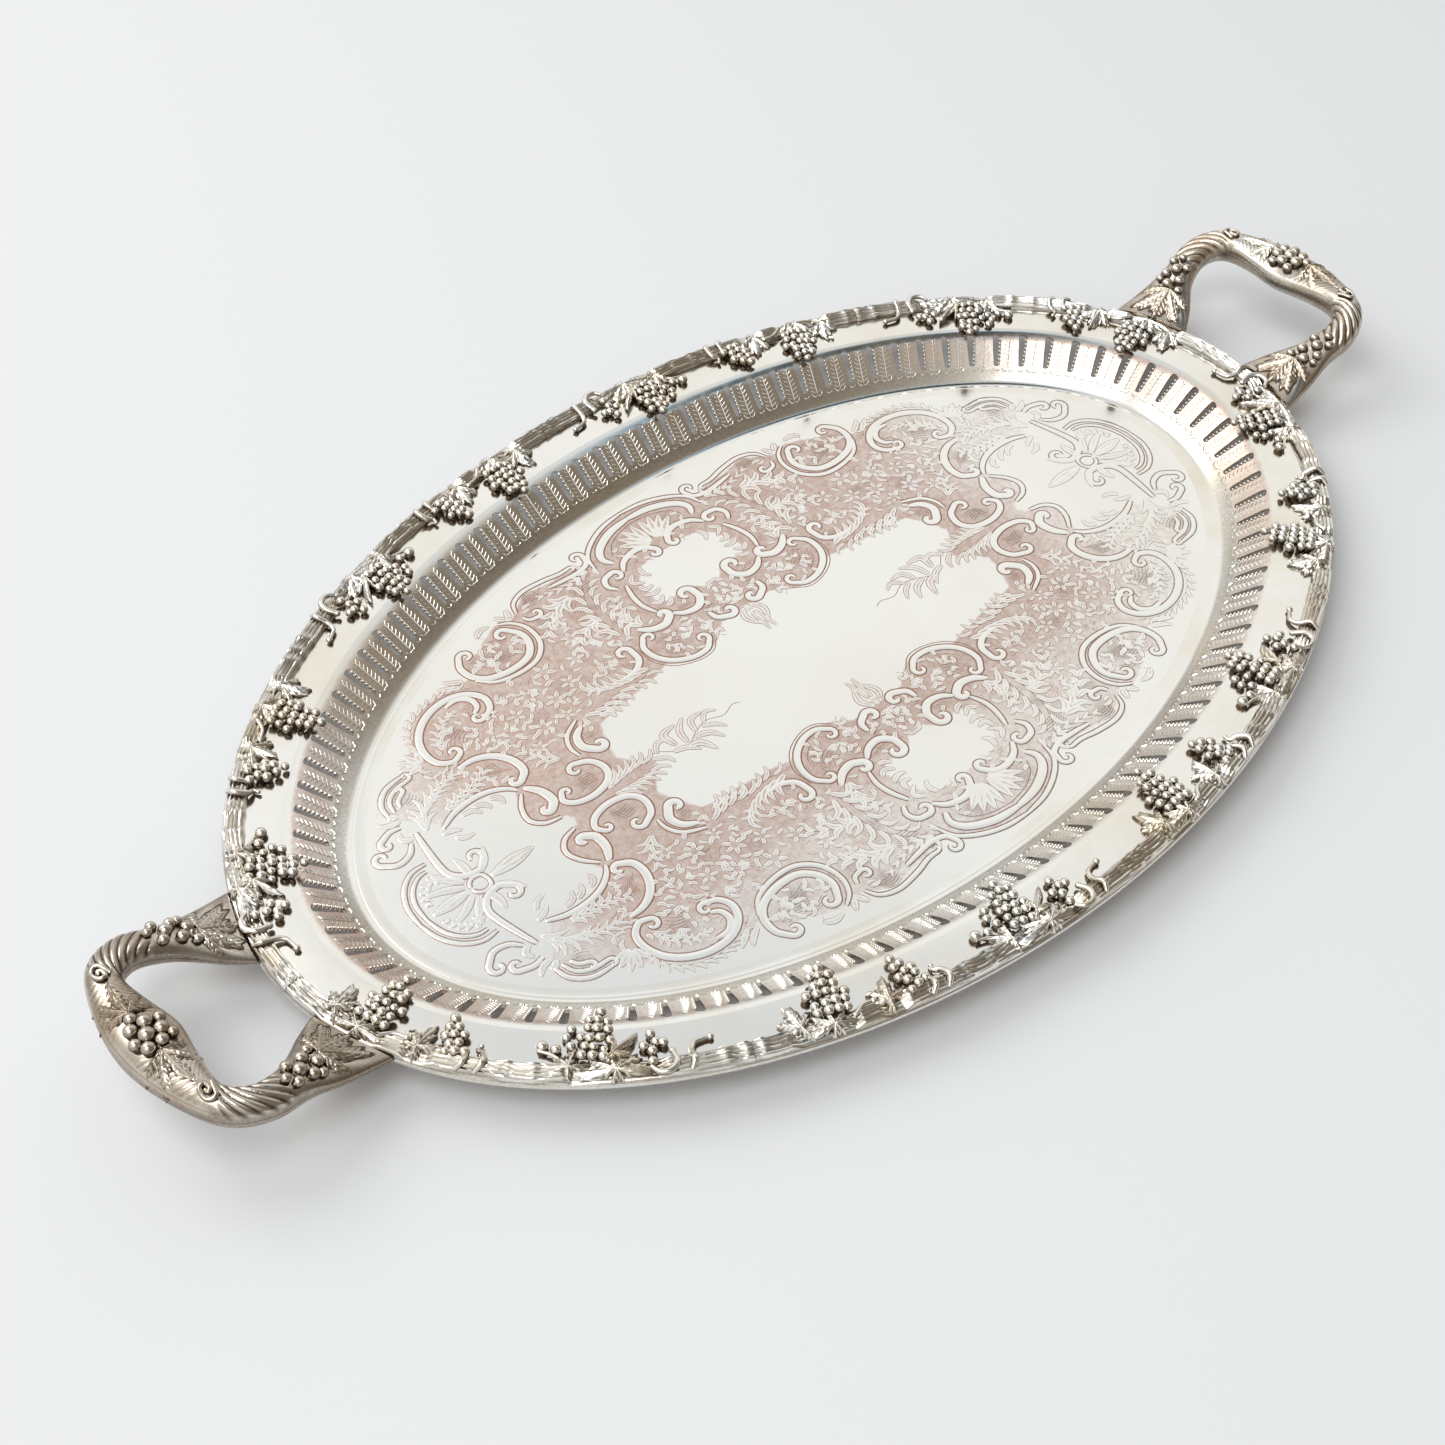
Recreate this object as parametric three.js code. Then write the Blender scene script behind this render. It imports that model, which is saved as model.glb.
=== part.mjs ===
// Oval serving and vanity tray: a pressed sheet body with a pierced gallery wall,
// a cast grapevine border in eight equal lengths, and two loop handles that are
// each made of an upper and a lower half casting.
// Units are millimetres and +Z is up. The origin is on the floor under the centre
// of the oval, +X runs along the long axis towards the right handle.
import * as THREE from 'three';

// ---- driving dimensions ----
const HALF_LENGTH = 255;
const HALF_WIDTH = 169;
const SHEET = 1.2;
const FLANGE_TOP = 16;
const SOLDER_GAP = 0.3;

// ---- the oval and its inset copies ----
// The rim is an ellipse. Everything on the tray is placed by an angle round it
// and by an inset, the distance inwards along the ellipse's own normal.
const rimNormal = (angle) => {
  const normal = new THREE.Vector2(Math.cos(angle) / HALF_LENGTH, Math.sin(angle) / HALF_WIDTH);
  return normal.normalize();
};

const insetPoint = (angle, inset) => {
  const normal = rimNormal(angle);
  return new THREE.Vector2(
    HALF_LENGTH * Math.cos(angle) - normal.x * inset,
    HALF_WIDTH * Math.sin(angle) - normal.y * inset,
  );
};

const ARC_STEPS = 2880;

// Returns a function from a fraction of the way round an inset oval to its angle.
const angleByArc = (inset) => {
  const lengths = [0];
  let last = insetPoint(0, inset);
  for (let step = 1; step <= ARC_STEPS; step += 1) {
    const next = insetPoint((step / ARC_STEPS) * 2 * Math.PI, inset);
    lengths.push(lengths[step - 1] + next.distanceTo(last));
    last = next;
  }
  const total = lengths[ARC_STEPS];
  const find = (fraction) => {
    const turns = Math.floor(fraction);
    const wanted = (fraction - turns) * total;
    let step = 0;
    while (step < ARC_STEPS - 1 && lengths[step + 1] < wanted) {
      step += 1;
    }
    const part = (wanted - lengths[step]) / (lengths[step + 1] - lengths[step]);
    return ((step + part) / ARC_STEPS + turns) * 2 * Math.PI;
  };
  return { find, total };
};

// ---- mesh building ----
const makeBuilder = () => {
  const positions = [];
  const triangles = [];
  const point = (x, y, z) => {
    positions.push(x, y, z);
    return positions.length / 3 - 1;
  };
  const quad = (a, b, c, d) => {
    triangles.push(a, b, c, a, c, d);
  };
  const triangle = (a, b, c) => {
    triangles.push(a, b, c);
  };
  const geometry = () => {
    const built = new THREE.BufferGeometry();
    built.setAttribute('position', new THREE.Float32BufferAttribute(positions, 3));
    built.setIndex(triangles);
    built.computeVertexNormals();
    return built;
  };
  return { point, quad, triangle, geometry };
};

// Joins rows of points into a skin, each row closed on itself. The rows run so
// that the skin's outside is on the left when going from one row to the next.
const skinClosedRows = (builder, rows) => {
  for (let row = 0; row < rows.length - 1; row += 1) {
    const count = rows[row].length;
    for (let column = 0; column < count; column += 1) {
      const beside = (column + 1) % count;
      builder.quad(rows[row][column], rows[row + 1][column], rows[row + 1][beside], rows[row][beside]);
    }
  }
};

// Closes a ring of points with a fan from its first point.
const capRing = (builder, ring, flip) => {
  for (let corner = 1; corner < ring.length - 1; corner += 1) {
    if (flip) {
      builder.triangle(ring[0], ring[corner + 1], ring[corner]);
    } else {
      builder.triangle(ring[0], ring[corner], ring[corner + 1]);
    }
  }
};

// Closes a ring of points whose second half runs back along its first half, as a
// strip of faces between the two, so that a curved end stays curved.
const capStrip = (builder, ring, flip) => {
  for (let corner = 0; corner < ring.length / 2 - 1; corner += 1) {
    const strip = [ring[corner], ring[corner + 1], ring[ring.length - 2 - corner], ring[ring.length - 1 - corner]];
    if (flip) {
      strip.reverse();
    }
    builder.quad(...strip);
  }
};

// ---- tray body: field, cove, pierced gallery, flange and rolled edge ----
const SLOT_COUNT = 100;
const SLOT_SHARE = 0.34;
const GALLERY_INSET = 31.5;
const FIELD_INSET = 44;
const SLOT_FOOT_INSET = 37.4;
const SLOT_HEAD_INSET = 25.4;
const FLANGE_INSET = 23;
const BEAD_RADIUS = 1.7;

// The upper face of the sheet from the edge of the field out to the rolled edge,
// as inset and height.
const upperProfile = [
  [FIELD_INSET, SHEET],
  [FIELD_INSET - 3.3, SHEET + 1.9],
  [SLOT_FOOT_INSET, SHEET + 4.9],
  [(SLOT_FOOT_INSET + SLOT_HEAD_INSET) / 2, SHEET + 9.9],
  [SLOT_HEAD_INSET, FLANGE_TOP - 0.8],
  [FLANGE_INSET, FLANGE_TOP],
  [BEAD_RADIUS, FLANGE_TOP],
];

// The lower face lies one sheet thickness below, square to the upper one.
const lowerPoint = (index) => {
  const before = upperProfile[Math.max(index - 1, 0)];
  const after = upperProfile[Math.min(index + 1, upperProfile.length - 1)];
  const run = before[0] - after[0];
  const rise = after[1] - before[1];
  const slope = Math.hypot(run, rise);
  const atFlatEnd = index === 0 || index >= upperProfile.length - 2;
  if (atFlatEnd) {
    return [upperProfile[index][0], upperProfile[index][1] - SHEET];
  }
  return [
    upperProfile[index][0] - (rise / slope) * SHEET,
    upperProfile[index][1] - (run / slope) * SHEET,
  ];
};

const traySheet = () => {
  const builder = makeBuilder();
  const gallery = angleByArc(GALLERY_INSET);
  const angles = [];
  for (let slot = 0; slot < SLOT_COUNT; slot += 1) {
    const start = (slot + 0.5 - SLOT_SHARE / 2) / SLOT_COUNT;
    angles.push(gallery.find(start));
    angles.push(gallery.find(start + SLOT_SHARE / SLOT_COUNT));
  }

  const beadCentre = FLANGE_TOP - BEAD_RADIUS;
  const bead = [
    [0, beadCentre + BEAD_RADIUS / 2],
    [0, beadCentre - BEAD_RADIUS / 2],
    [BEAD_RADIUS, beadCentre - BEAD_RADIUS],
    [BEAD_RADIUS * 2, FLANGE_TOP - SHEET],
  ];
  const last = upperProfile.length - 2;
  const lower = [];
  for (let index = last; index >= 0; index -= 1) {
    lower.push(lowerPoint(index));
  }
  const profile = [...upperProfile, ...bead, ...lower];

  const rows = profile.map(([inset, height]) => angles.map((angle) => {
    const place = insetPoint(angle, inset);
    return builder.point(place.x, place.y, height);
  }));

  // In the gallery the columns that start at an even index are slots. The two
  // bands of the wall are left open there, on both faces of the sheet.
  const footUpper = 2;
  const headUpper = 4;
  const footLower = rows.length - 1 - footUpper;
  const headLower = rows.length - 1 - headUpper;
  const isOpen = (row, column) => {
    const inUpper = row >= footUpper && row < headUpper;
    const inLower = row >= headLower && row < footLower;
    return column % 2 === 0 && (inUpper || inLower);
  };
  for (let row = 0; row < rows.length - 1; row += 1) {
    for (let column = 0; column < angles.length; column += 1) {
      const beside = (column + 1) % angles.length;
      if (!isOpen(row, column)) {
        builder.quad(rows[row][column], rows[row + 1][column], rows[row + 1][beside], rows[row][beside]);
      }
    }
  }

  // The cut edges of each slot.
  for (let column = 0; column < angles.length; column += 2) {
    const beside = column + 1;
    for (let step = 0; step < headUpper - footUpper; step += 1) {
      const upper = footUpper + step;
      const under = footLower - step;
      builder.quad(rows[upper][column], rows[upper + 1][column], rows[under - 1][column], rows[under][column]);
      builder.quad(rows[upper][beside], rows[under][beside], rows[under - 1][beside], rows[upper + 1][beside]);
    }
    builder.quad(rows[footUpper][column], rows[footLower][column], rows[footLower][beside], rows[footUpper][beside]);
    builder.quad(rows[headUpper][column], rows[headUpper][beside], rows[headLower][beside], rows[headLower][column]);
  }

  // The flat field closes the sheet above and below.
  const closeField = (ring, height, isUpper) => {
    const centre = builder.point(0, 0, height);
    for (let column = 0; column < ring.length; column += 1) {
      const beside = (column + 1) % ring.length;
      if (isUpper) {
        builder.triangle(centre, ring[column], ring[beside]);
      } else {
        builder.triangle(centre, ring[beside], ring[column]);
      }
    }
  };
  closeField(rows[0], SHEET, true);
  closeField(rows[rows.length - 1], 0, false);
  return builder.geometry();
};

// ---- grapevine border: eight equal castings soldered end to end ----
const BORDER_COUNT = 8;
const BORDER_START = 0.001;
const BORDER_STATIONS = 30;
const BARK_WIDTH = 9;
const BORDER_EDGE = 1;
const BARK_HEIGHT = 3.6;
const BUNCH_HEIGHT = 5;

// How far each hanging motif reaches in from the rim: its place along the
// casting, its half length there, and its reach.
const motifs = [
  { place: 0.11, half: 0.06, reach: 17 },
  { place: 0.195, half: 0.08, reach: 29 },
  { place: 0.35, half: 0.085, reach: 21 },
  { place: 0.6, half: 0.06, reach: 22 },
  { place: 0.685, half: 0.075, reach: 29 },
  { place: 0.8, half: 0.07, reach: 20 },
];

const motifShape = (motif, along) => {
  const offset = Math.abs(along - motif.place) / motif.half;
  if (offset >= 1) {
    return 0;
  }
  return Math.cos(offset * Math.PI / 2) ** 0.7;
};

const borderReach = (along) => {
  const reaches = motifs.map((motif) => motifShape(motif, along) * (motif.reach - BARK_WIDTH));
  return BARK_WIDTH + Math.max(...reaches);
};

const borderCrown = (along) => {
  const shapes = motifs.map((motif) => motifShape(motif, along));
  return BARK_HEIGHT + Math.max(...shapes) * (BUNCH_HEIGHT - BARK_HEIGHT);
};

const borderLength = (index) => {
  const builder = makeBuilder();
  const rim = angleByArc(0);
  const base = FLANGE_TOP + SOLDER_GAP;
  const endGap = SOLDER_GAP / 2 / rim.total;
  const from = BORDER_START + index / BORDER_COUNT + endGap;
  const to = BORDER_START + (index + 1) / BORDER_COUNT - endGap;
  const rows = [];
  for (let station = 0; station <= BORDER_STATIONS; station += 1) {
    const along = station / BORDER_STATIONS;
    const angle = rim.find(from + (to - from) * along);
    const reach = borderReach(along);
    const crown = borderCrown(along);
    const section = [
      [BORDER_EDGE, 0],
      [BORDER_EDGE, BARK_HEIGHT * 0.6],
      [BORDER_EDGE + 2, BARK_HEIGHT],
      [reach * 0.6 + BORDER_EDGE, crown],
      [reach, crown * 0.4],
      [reach, 0],
    ];
    rows.push(section.map(([inset, height]) => {
      const place = insetPoint(angle, inset);
      return builder.point(place.x, place.y, base + height);
    }));
  }
  skinClosedRows(builder, rows);
  capRing(builder, rows[0], false);
  capRing(builder, rows[rows.length - 1], true);
  return builder.geometry();
};

// ---- handles: an upper and a lower half casting, split at mid height ----
const HANDLE_STATIONS = 32;
const FOOT_INNER_Y = 16;
const FOOT_OUTER_Y = 48.3;
const HANDLE_SIDE = 0.8;

const rimX = (y) => HALF_LENGTH * Math.sqrt(1 - (y / HALF_WIDTH) ** 2) + SOLDER_GAP + 0.1;

// Half of the loop, from a foot at the rim to the middle of the grip: the inner
// edge, the outer edge, the height of the split and half the thickness.
const halfLoop = [
  { inner: [rimX(FOOT_INNER_Y), FOOT_INNER_Y], outer: [rimX(FOOT_OUTER_Y), FOOT_OUTER_Y], split: 15.8, half: 2.9 },
  { inner: [264.5, 22.5], outer: [262.5, 47], split: 19.6, half: 4.2 },
  { inner: [276, 31], outer: [274.5, 46.2], split: 24.2, half: 5.5 },
  { inner: [287.3, 34.2], outer: [288, 47.6], split: 28.6, half: 6.2 },
  { inner: [294.6, 31.2], outer: [299.5, 43.8], split: 31.3, half: 6.5 },
  { inner: [296.3, 24.6], outer: [307.2, 35], split: 32.7, half: 6.5 },
  { inner: [294.8, 13.5], outer: [313.4, 17], split: 33.2, half: 6.6 },
  { inner: [292.6, 0], outer: [315.6, 0], split: 33.2, half: 6.8 },
];

const mirrored = (stop) => ({
  inner: [stop.inner[0], -stop.inner[1]],
  outer: [stop.outer[0], -stop.outer[1]],
  split: stop.split,
  half: stop.half,
});

const loop = [...halfLoop, ...halfLoop.slice(0, -1).reverse().map(mirrored)];
const innerEdge = new THREE.CatmullRomCurve3(
  loop.map((stop) => new THREE.Vector3(stop.inner[0], stop.inner[1], stop.split)),
);
const outerEdge = new THREE.CatmullRomCurve3(
  loop.map((stop) => new THREE.Vector3(stop.outer[0], stop.outer[1], stop.half)),
);

// The feet end along the curve of the rim instead of on a straight chord.
const footBulge = (y, station) => {
  const fromEnd = Math.min(station, HANDLE_STATIONS - station);
  const fade = Math.max(0, 1 - fromEnd / 3);
  const share = (Math.abs(y) - FOOT_INNER_Y) / (FOOT_OUTER_Y - FOOT_INNER_Y);
  const chord = rimX(FOOT_INNER_Y) + (rimX(FOOT_OUTER_Y) - rimX(FOOT_INNER_Y)) * share;
  return fade * Math.max(0, rimX(y) - chord);
};

// side is +1 for the upper half casting and -1 for the lower one.
const handleHalf = (side) => {
  const builder = makeBuilder();
  const across = [-1, -0.62, 0, 0.62, 1];
  const rows = [];
  for (let station = 0; station <= HANDLE_STATIONS; station += 1) {
    const inner = innerEdge.getPoint(station / HANDLE_STATIONS);
    const outer = outerEdge.getPoint(station / HANDLE_STATIONS);
    const split = inner.z;
    const thickness = outer.z;
    const place = (u, height) => {
      const share = (u + 1) / 2;
      const y = inner.y + (outer.y - inner.y) * share;
      const x = inner.x + (outer.x - inner.x) * share + footBulge(y, station);
      return builder.point(x, y, split + side * (SOLDER_GAP / 2 + height));
    };
    const dome = across.map((u) => place(u, HANDLE_SIDE + (thickness - HANDLE_SIDE) * Math.sqrt(1 - u * u)));
    const face = across.map((u) => place(u, 0)).reverse();
    const row = [...dome, ...face];
    rows.push(side > 0 ? row : row.reverse());
  }
  skinClosedRows(builder, rows);
  capStrip(builder, rows[0], false);
  capStrip(builder, rows[rows.length - 1], true);
  return builder.geometry();
};

// ---- the assembly ----
const sheetSilver = new THREE.MeshStandardMaterial({ color: 0xdedad2, metalness: 1, roughness: 0.24 });
const borderSilver = new THREE.MeshStandardMaterial({ color: 0xc9c2b6, metalness: 1, roughness: 0.32 });
const handleSilver = new THREE.MeshStandardMaterial({ color: 0xb9ac9a, metalness: 1, roughness: 0.32 });

const tray = new THREE.Group();

const addPiece = (name, geometry, material) => {
  const mesh = new THREE.Mesh(geometry, material);
  mesh.name = name;
  tray.add(mesh);
  return mesh;
};

addPiece('tray_body', traySheet(), sheetSilver);

for (let index = 0; index < BORDER_COUNT; index += 1) {
  addPiece(`vine_border_${index + 1}`, borderLength(index), borderSilver);
}

for (const hand of ['right', 'left']) {
  const turn = hand === 'left' ? Math.PI : 0;
  addPiece(`${hand}_handle_upper`, handleHalf(1), handleSilver).rotation.z = turn;
  addPiece(`${hand}_handle_lower`, handleHalf(-1), handleSilver).rotation.z = turn;
}

export default tray;
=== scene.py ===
import math

import bmesh
import bpy
import numpy as np
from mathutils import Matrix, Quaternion, Vector
from mathutils.geometry import delaunay_2d_cdt


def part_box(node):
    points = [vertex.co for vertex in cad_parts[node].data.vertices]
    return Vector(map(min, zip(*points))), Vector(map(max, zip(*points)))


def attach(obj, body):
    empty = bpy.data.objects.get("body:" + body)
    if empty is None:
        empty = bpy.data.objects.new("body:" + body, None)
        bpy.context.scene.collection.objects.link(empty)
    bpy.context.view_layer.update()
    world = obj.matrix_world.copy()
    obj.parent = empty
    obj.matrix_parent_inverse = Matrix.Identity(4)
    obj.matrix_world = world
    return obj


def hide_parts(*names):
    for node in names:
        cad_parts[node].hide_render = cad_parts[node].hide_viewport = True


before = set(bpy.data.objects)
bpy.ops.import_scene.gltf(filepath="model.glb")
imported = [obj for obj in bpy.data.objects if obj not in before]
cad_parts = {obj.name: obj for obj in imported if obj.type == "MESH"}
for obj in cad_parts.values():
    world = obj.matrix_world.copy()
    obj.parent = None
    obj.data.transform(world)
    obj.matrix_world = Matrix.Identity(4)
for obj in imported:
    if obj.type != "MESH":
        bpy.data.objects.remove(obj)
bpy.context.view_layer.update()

# ---- driving sizes, in millimetres, from the frame ----
MM = 0.001
sheet_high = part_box("tray_body")[1]
HALF_LENGTH = sheet_high.x / MM
HALF_WIDTH = sheet_high.y / MM
FLANGE = sheet_high.z / MM
GRIP_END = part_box("right_handle_upper")[1].x / MM
SHEET = 1.2
random = np.random.default_rng(7)

# ---- the oval: angle round it and inset from its rim ----
turns = np.linspace(0, 2 * np.pi, 7201)


def rim_normal(angle):
    across = np.cos(angle) / HALF_LENGTH
    along = np.sin(angle) / HALF_WIDTH
    size = np.hypot(across, along)
    return across / size, along / size


def inset_xy(angle, inset):
    nx, ny = rim_normal(angle)
    return HALF_LENGTH * np.cos(angle) - nx * inset, HALF_WIDTH * np.sin(angle) - ny * inset


def arc_lengths(inset):
    x, y = inset_xy(turns, inset)
    return np.concatenate([[0], np.cumsum(np.hypot(np.diff(x), np.diff(y)))])


GALLERY_INSET = 31.5
BORDER_INSET = 12
gallery_arc = arc_lengths(GALLERY_INSET)
border_arc = arc_lengths(BORDER_INSET)


def angle_at(fraction, arc):
    fraction = np.asarray(fraction, float)
    whole = np.floor(fraction)
    return np.interp((fraction - whole) * arc[-1], arc, turns) + whole * 2 * np.pi


# ---- the pressed section: height of the sheet's upper face by inset ----
FLANGE_EDGE = 23.0
SLOT_HEAD = 25.4
SLOT_FOOT = 37.4
FIELD_EDGE = 44.0
section_insets = np.arange(-5, 70, 0.1)
section_rough = np.interp(
    section_insets,
    [FLANGE_EDGE, SLOT_HEAD + 1.5, SLOT_FOOT, FIELD_EDGE],
    [FLANGE, FLANGE - 1.5, SHEET + 5.2, SHEET],
)
smoothing = np.exp(-(np.arange(-3, 3.01, 0.1) / 1.3) ** 2)
section_smooth = np.convolve(section_rough, smoothing / smoothing.sum(), mode="same")
inner = slice(60, -60)
section_insets, section_smooth = section_insets[inner], section_smooth[inner]
section_slope = np.gradient(section_smooth, section_insets)


def sheet_height(inset):
    return np.interp(inset, section_insets, section_smooth)


def sheet_normal(inset):
    """The face's normal as its parts outwards from the centre and upwards."""
    slope = np.interp(inset, section_insets, section_slope)
    size = np.hypot(slope, 1)
    return slope / size, 1 / size


def on_sheet(angle, inset, lift=0.0):
    """A point at a height above the sheet, measured square to its face."""
    angle, inset, lift = np.broadcast_arrays(angle, inset, lift)
    outwards, upwards = sheet_normal(inset)
    x, y = inset_xy(angle, inset)
    nx, ny = rim_normal(angle)
    raised = sheet_height(inset) + upwards * lift
    return np.stack([x + nx * outwards * lift, y + ny * outwards * lift, raised], -1)


# ---- mesh gathering ----
class Shape:
    """Vertices, faces and two surface values that the materials read: how deep a spot lies in a hollow, with
    painted shade under balls and tubes added (tarnish), and how much copper shows."""

    def __init__(self):
        self.parts = []
        self.count = 0

    def add(self, points, faces, tarnish=0.0, copper=0.0):
        points = np.asarray(points, float).reshape(-1, 3)
        size = len(points)
        tarnish = np.broadcast_to(np.asarray(tarnish, float), (size,))
        copper = np.broadcast_to(np.asarray(copper, float), (size,))
        self.parts.append((points, [np.asarray(f) + self.count for f in faces], tarnish, copper))
        self.count += size

    def make(self, name, smooth_angle=None):
        points = np.concatenate([p[0] for p in self.parts]) * MM
        loops = []
        sizes = []
        for _, groups, _, _ in self.parts:
            for group in groups:
                group = np.atleast_2d(group)
                loops.append(group.ravel())
                sizes.append(np.full(len(group), group.shape[1]))
        loops = np.concatenate(loops).astype(np.int32)
        sizes = np.concatenate(sizes).astype(np.int32)
        mesh = bpy.data.meshes.new(name)
        mesh.vertices.add(len(points))
        mesh.vertices.foreach_set("co", points.astype(np.float32).ravel())
        mesh.loops.add(len(loops))
        mesh.loops.foreach_set("vertex_index", loops)
        mesh.polygons.add(len(sizes))
        starts = np.concatenate([[0], np.cumsum(sizes)[:-1]]).astype(np.int32)
        mesh.polygons.foreach_set("loop_start", starts)
        mesh.polygons.foreach_set("use_smooth", np.ones(len(sizes), bool))
        mesh.update(calc_edges=True)
        mesh.validate()
        for label, column in (("tarnish", 2), ("copper", 3)):
            values = np.concatenate([p[column] for p in self.parts]).astype(np.float32)
            mesh.attributes.new(label, "FLOAT", "POINT").data.foreach_set("value", values)
        if smooth_angle is not None:
            mesh.set_sharp_from_angle(angle=math.radians(smooth_angle))
        made = bpy.data.objects.new(name, mesh)
        bpy.context.scene.collection.objects.link(made)
        return made


def ring_faces(rows, columns, flip=False):
    """Quads between rows of points, each row closed into a ring."""
    row, column = np.meshgrid(np.arange(rows - 1) * columns, np.arange(columns), indexing="ij")
    after = (column + 1) % columns
    quads = np.stack([row + column, row + columns + column, row + columns + after, row + after], -1)
    quads = quads.reshape(-1, 4)
    return quads[:, ::-1] if flip else quads


def fan_faces(hub, first, second):
    """Triangles from one hub to each pair of neighbours."""
    return np.stack([np.full(len(first), hub), first, second], -1)


def end_faces(half, rows, columns, flip=False):
    """Quads that close both ends of a skin whose rows run over and back below."""
    over = np.arange(half)
    first = np.stack([over[:-1], over[1:], columns - 2 - over[:-1], columns - 1 - over[:-1]], -1)
    last = (first + (rows - 1) * columns)[:, ::-1]
    return [first[:, ::-1], last[:, ::-1]] if flip else [first, last]


def unit_ball(detail):
    ball = bmesh.new()
    bmesh.ops.create_icosphere(ball, subdivisions=detail, radius=1)
    points = np.array([v.co[:] for v in ball.verts])
    faces = np.array([[v.index for v in f.verts] for f in ball.faces])
    ball.free()
    return points, faces


BALL_POINTS, BALL_FACES = unit_ball(3)


def add_ball(shape, centre, radius, squash=1.0):
    points = BALL_POINTS * [radius, radius, radius * squash] + centre
    # Painted shade and tarnish: each ball is darker towards its underside, as painted shade and as the
    # tarnish that lies between grapes.
    tarnish = np.clip(0.9 - 0.85 * BALL_POINTS[:, 2], 0, 1)
    shape.add(points, [BALL_FACES], tarnish)


def frames_along(path):
    """Side and up vectors along a path, kept from twisting by leaning on +Z."""
    ahead = np.gradient(path, axis=0)
    ahead /= np.linalg.norm(ahead, axis=1, keepdims=True) + 1e-9
    side = np.cross(ahead, [0, 0, 1.0])
    side /= np.linalg.norm(side, axis=1, keepdims=True) + 1e-9
    return side, np.cross(side, ahead)


def add_tube(shape, path, radii, sides=10, tarnish=0.15):
    path = np.asarray(path, float)
    radii = np.broadcast_to(np.asarray(radii, float), (len(path),))
    side, up = frames_along(path)
    around = np.linspace(0, 2 * np.pi, sides, endpoint=False)
    ring = side[:, None] * np.cos(around)[None, :, None] + up[:, None] * np.sin(around)[None, :, None]
    points = (path[:, None] + ring * radii[:, None, None]).reshape(-1, 3)
    count = len(points)
    points = np.vstack([points, path[0], path[-1]])
    low = np.arange(sides)
    high = count - sides + low
    first = fan_faces(count, (low + 1) % sides, low)[:, ::-1]
    last = fan_faces(count + 1, high, np.roll(high, -1))[:, ::-1]
    # Painted shade: each tube is darker along its underside, on top of its own tarnish.
    worn = np.tile(np.clip(tarnish + 0.7 - 0.8 * np.sin(around), 0, 1), len(path))
    shape.add(points, [ring_faces(len(path), sides), first, last], np.append(worn, [0.5, 0.5]))


def smooth_path(points, count):
    """A curve through given points, as a Catmull-Rom spline."""
    points = np.asarray(points, float)
    padded = np.vstack([2 * points[0] - points[1], points, 2 * points[-1] - points[-2]])
    place = np.linspace(0, len(points) - 1 - 1e-9, count)
    start = place.astype(int)
    t = (place - start)[:, None]
    a, b, c, d = (padded[start + k] for k in range(4))
    return 0.5 * (2 * b + (c - a) * t + (2 * a - 5 * b + 4 * c - d) * t**2 + (3 * b - a - 3 * c + d) * t**3)


NARROWEST = 0.03


def strip(path, half_width, profile):
    """A closed strip with pointed ends. The profile lists (share of the half width,
    extra offset, height, bareness of copper) from one edge to the other."""
    path = np.asarray(path, float)
    count = len(path)
    ahead = np.gradient(path, axis=0)
    ahead /= np.linalg.norm(ahead, axis=1, keepdims=True) + 1e-9
    side = np.stack([-ahead[:, 1], ahead[:, 0]], -1)[1:-1]
    width = np.broadcast_to(np.asarray(half_width, float), (count,))[1:-1]
    rows = []
    for share, extra, height, _ in profile:
        offset = (share * np.maximum(width + extra, NARROWEST))[:, None]
        rows.append(np.hstack([path[1:-1] + side * offset, np.full((count - 2, 1), height)]))
    across = len(profile)
    body = np.stack(rows, 1).reshape(-1, 3)
    size = len(body)
    tips = np.hstack([path[[0, -1]], np.full((2, 1), profile[0][2])])
    ring = np.arange(across)
    after = (ring + 1) % across
    start = fan_faces(size, ring, after)
    finish = fan_faces(size + 1, after + size - across, ring + size - across)
    copper = np.append(np.tile([p[3] for p in profile], count - 2), [1.0, 1.0])
    return np.vstack([body, tips]), [ring_faces(count - 2, across), start, finish], copper


# ---- gallery: one pitch is drawn flat, then repeated round the oval ----
SLOT_COUNT = 100
SLOT_PHASE = 0.1
PITCH = gallery_arc[-1] / SLOT_COUNT
CELL_COLUMNS = 10
CELL_TOP = 22.0
CELL_FOOT = 40.0
CELL_ROWS = 15
FIELD_JOIN = 50.0
ROLL = 1.7
# Copper that shows on the wall, and how much more of it at the ends of the oval.
WALL_COPPER = 0.24
END_COPPER = 0.36
# The slot's lobed edge: its two ends, the pitch and swell of its lobes, its place
# at the head and how far it leans on the way down.
LOBES_HEAD = SLOT_HEAD + 1.6
LOBES_FOOT = SLOT_FOOT - 0.3
LOBE_PITCH = 1.45
LOBE_SWELL = 0.75
LOBED_EDGE = -2.2
EDGE_LEAN = 0.75


def slot_share(depth):
    return (depth - SLOT_HEAD) / (SLOT_FOOT - SLOT_HEAD)


def scalloped_side():
    """Depth and place across the pitch of the slot's lobed edge."""
    depth = np.linspace(LOBES_HEAD, LOBES_FOOT, 36)
    lobes = LOBE_SWELL * np.abs(np.sin(np.pi * (depth - SLOT_HEAD - 1.6) / LOBE_PITCH))
    return depth, LOBED_EDGE + EDGE_LEAN * slot_share(depth) + lobes


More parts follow.
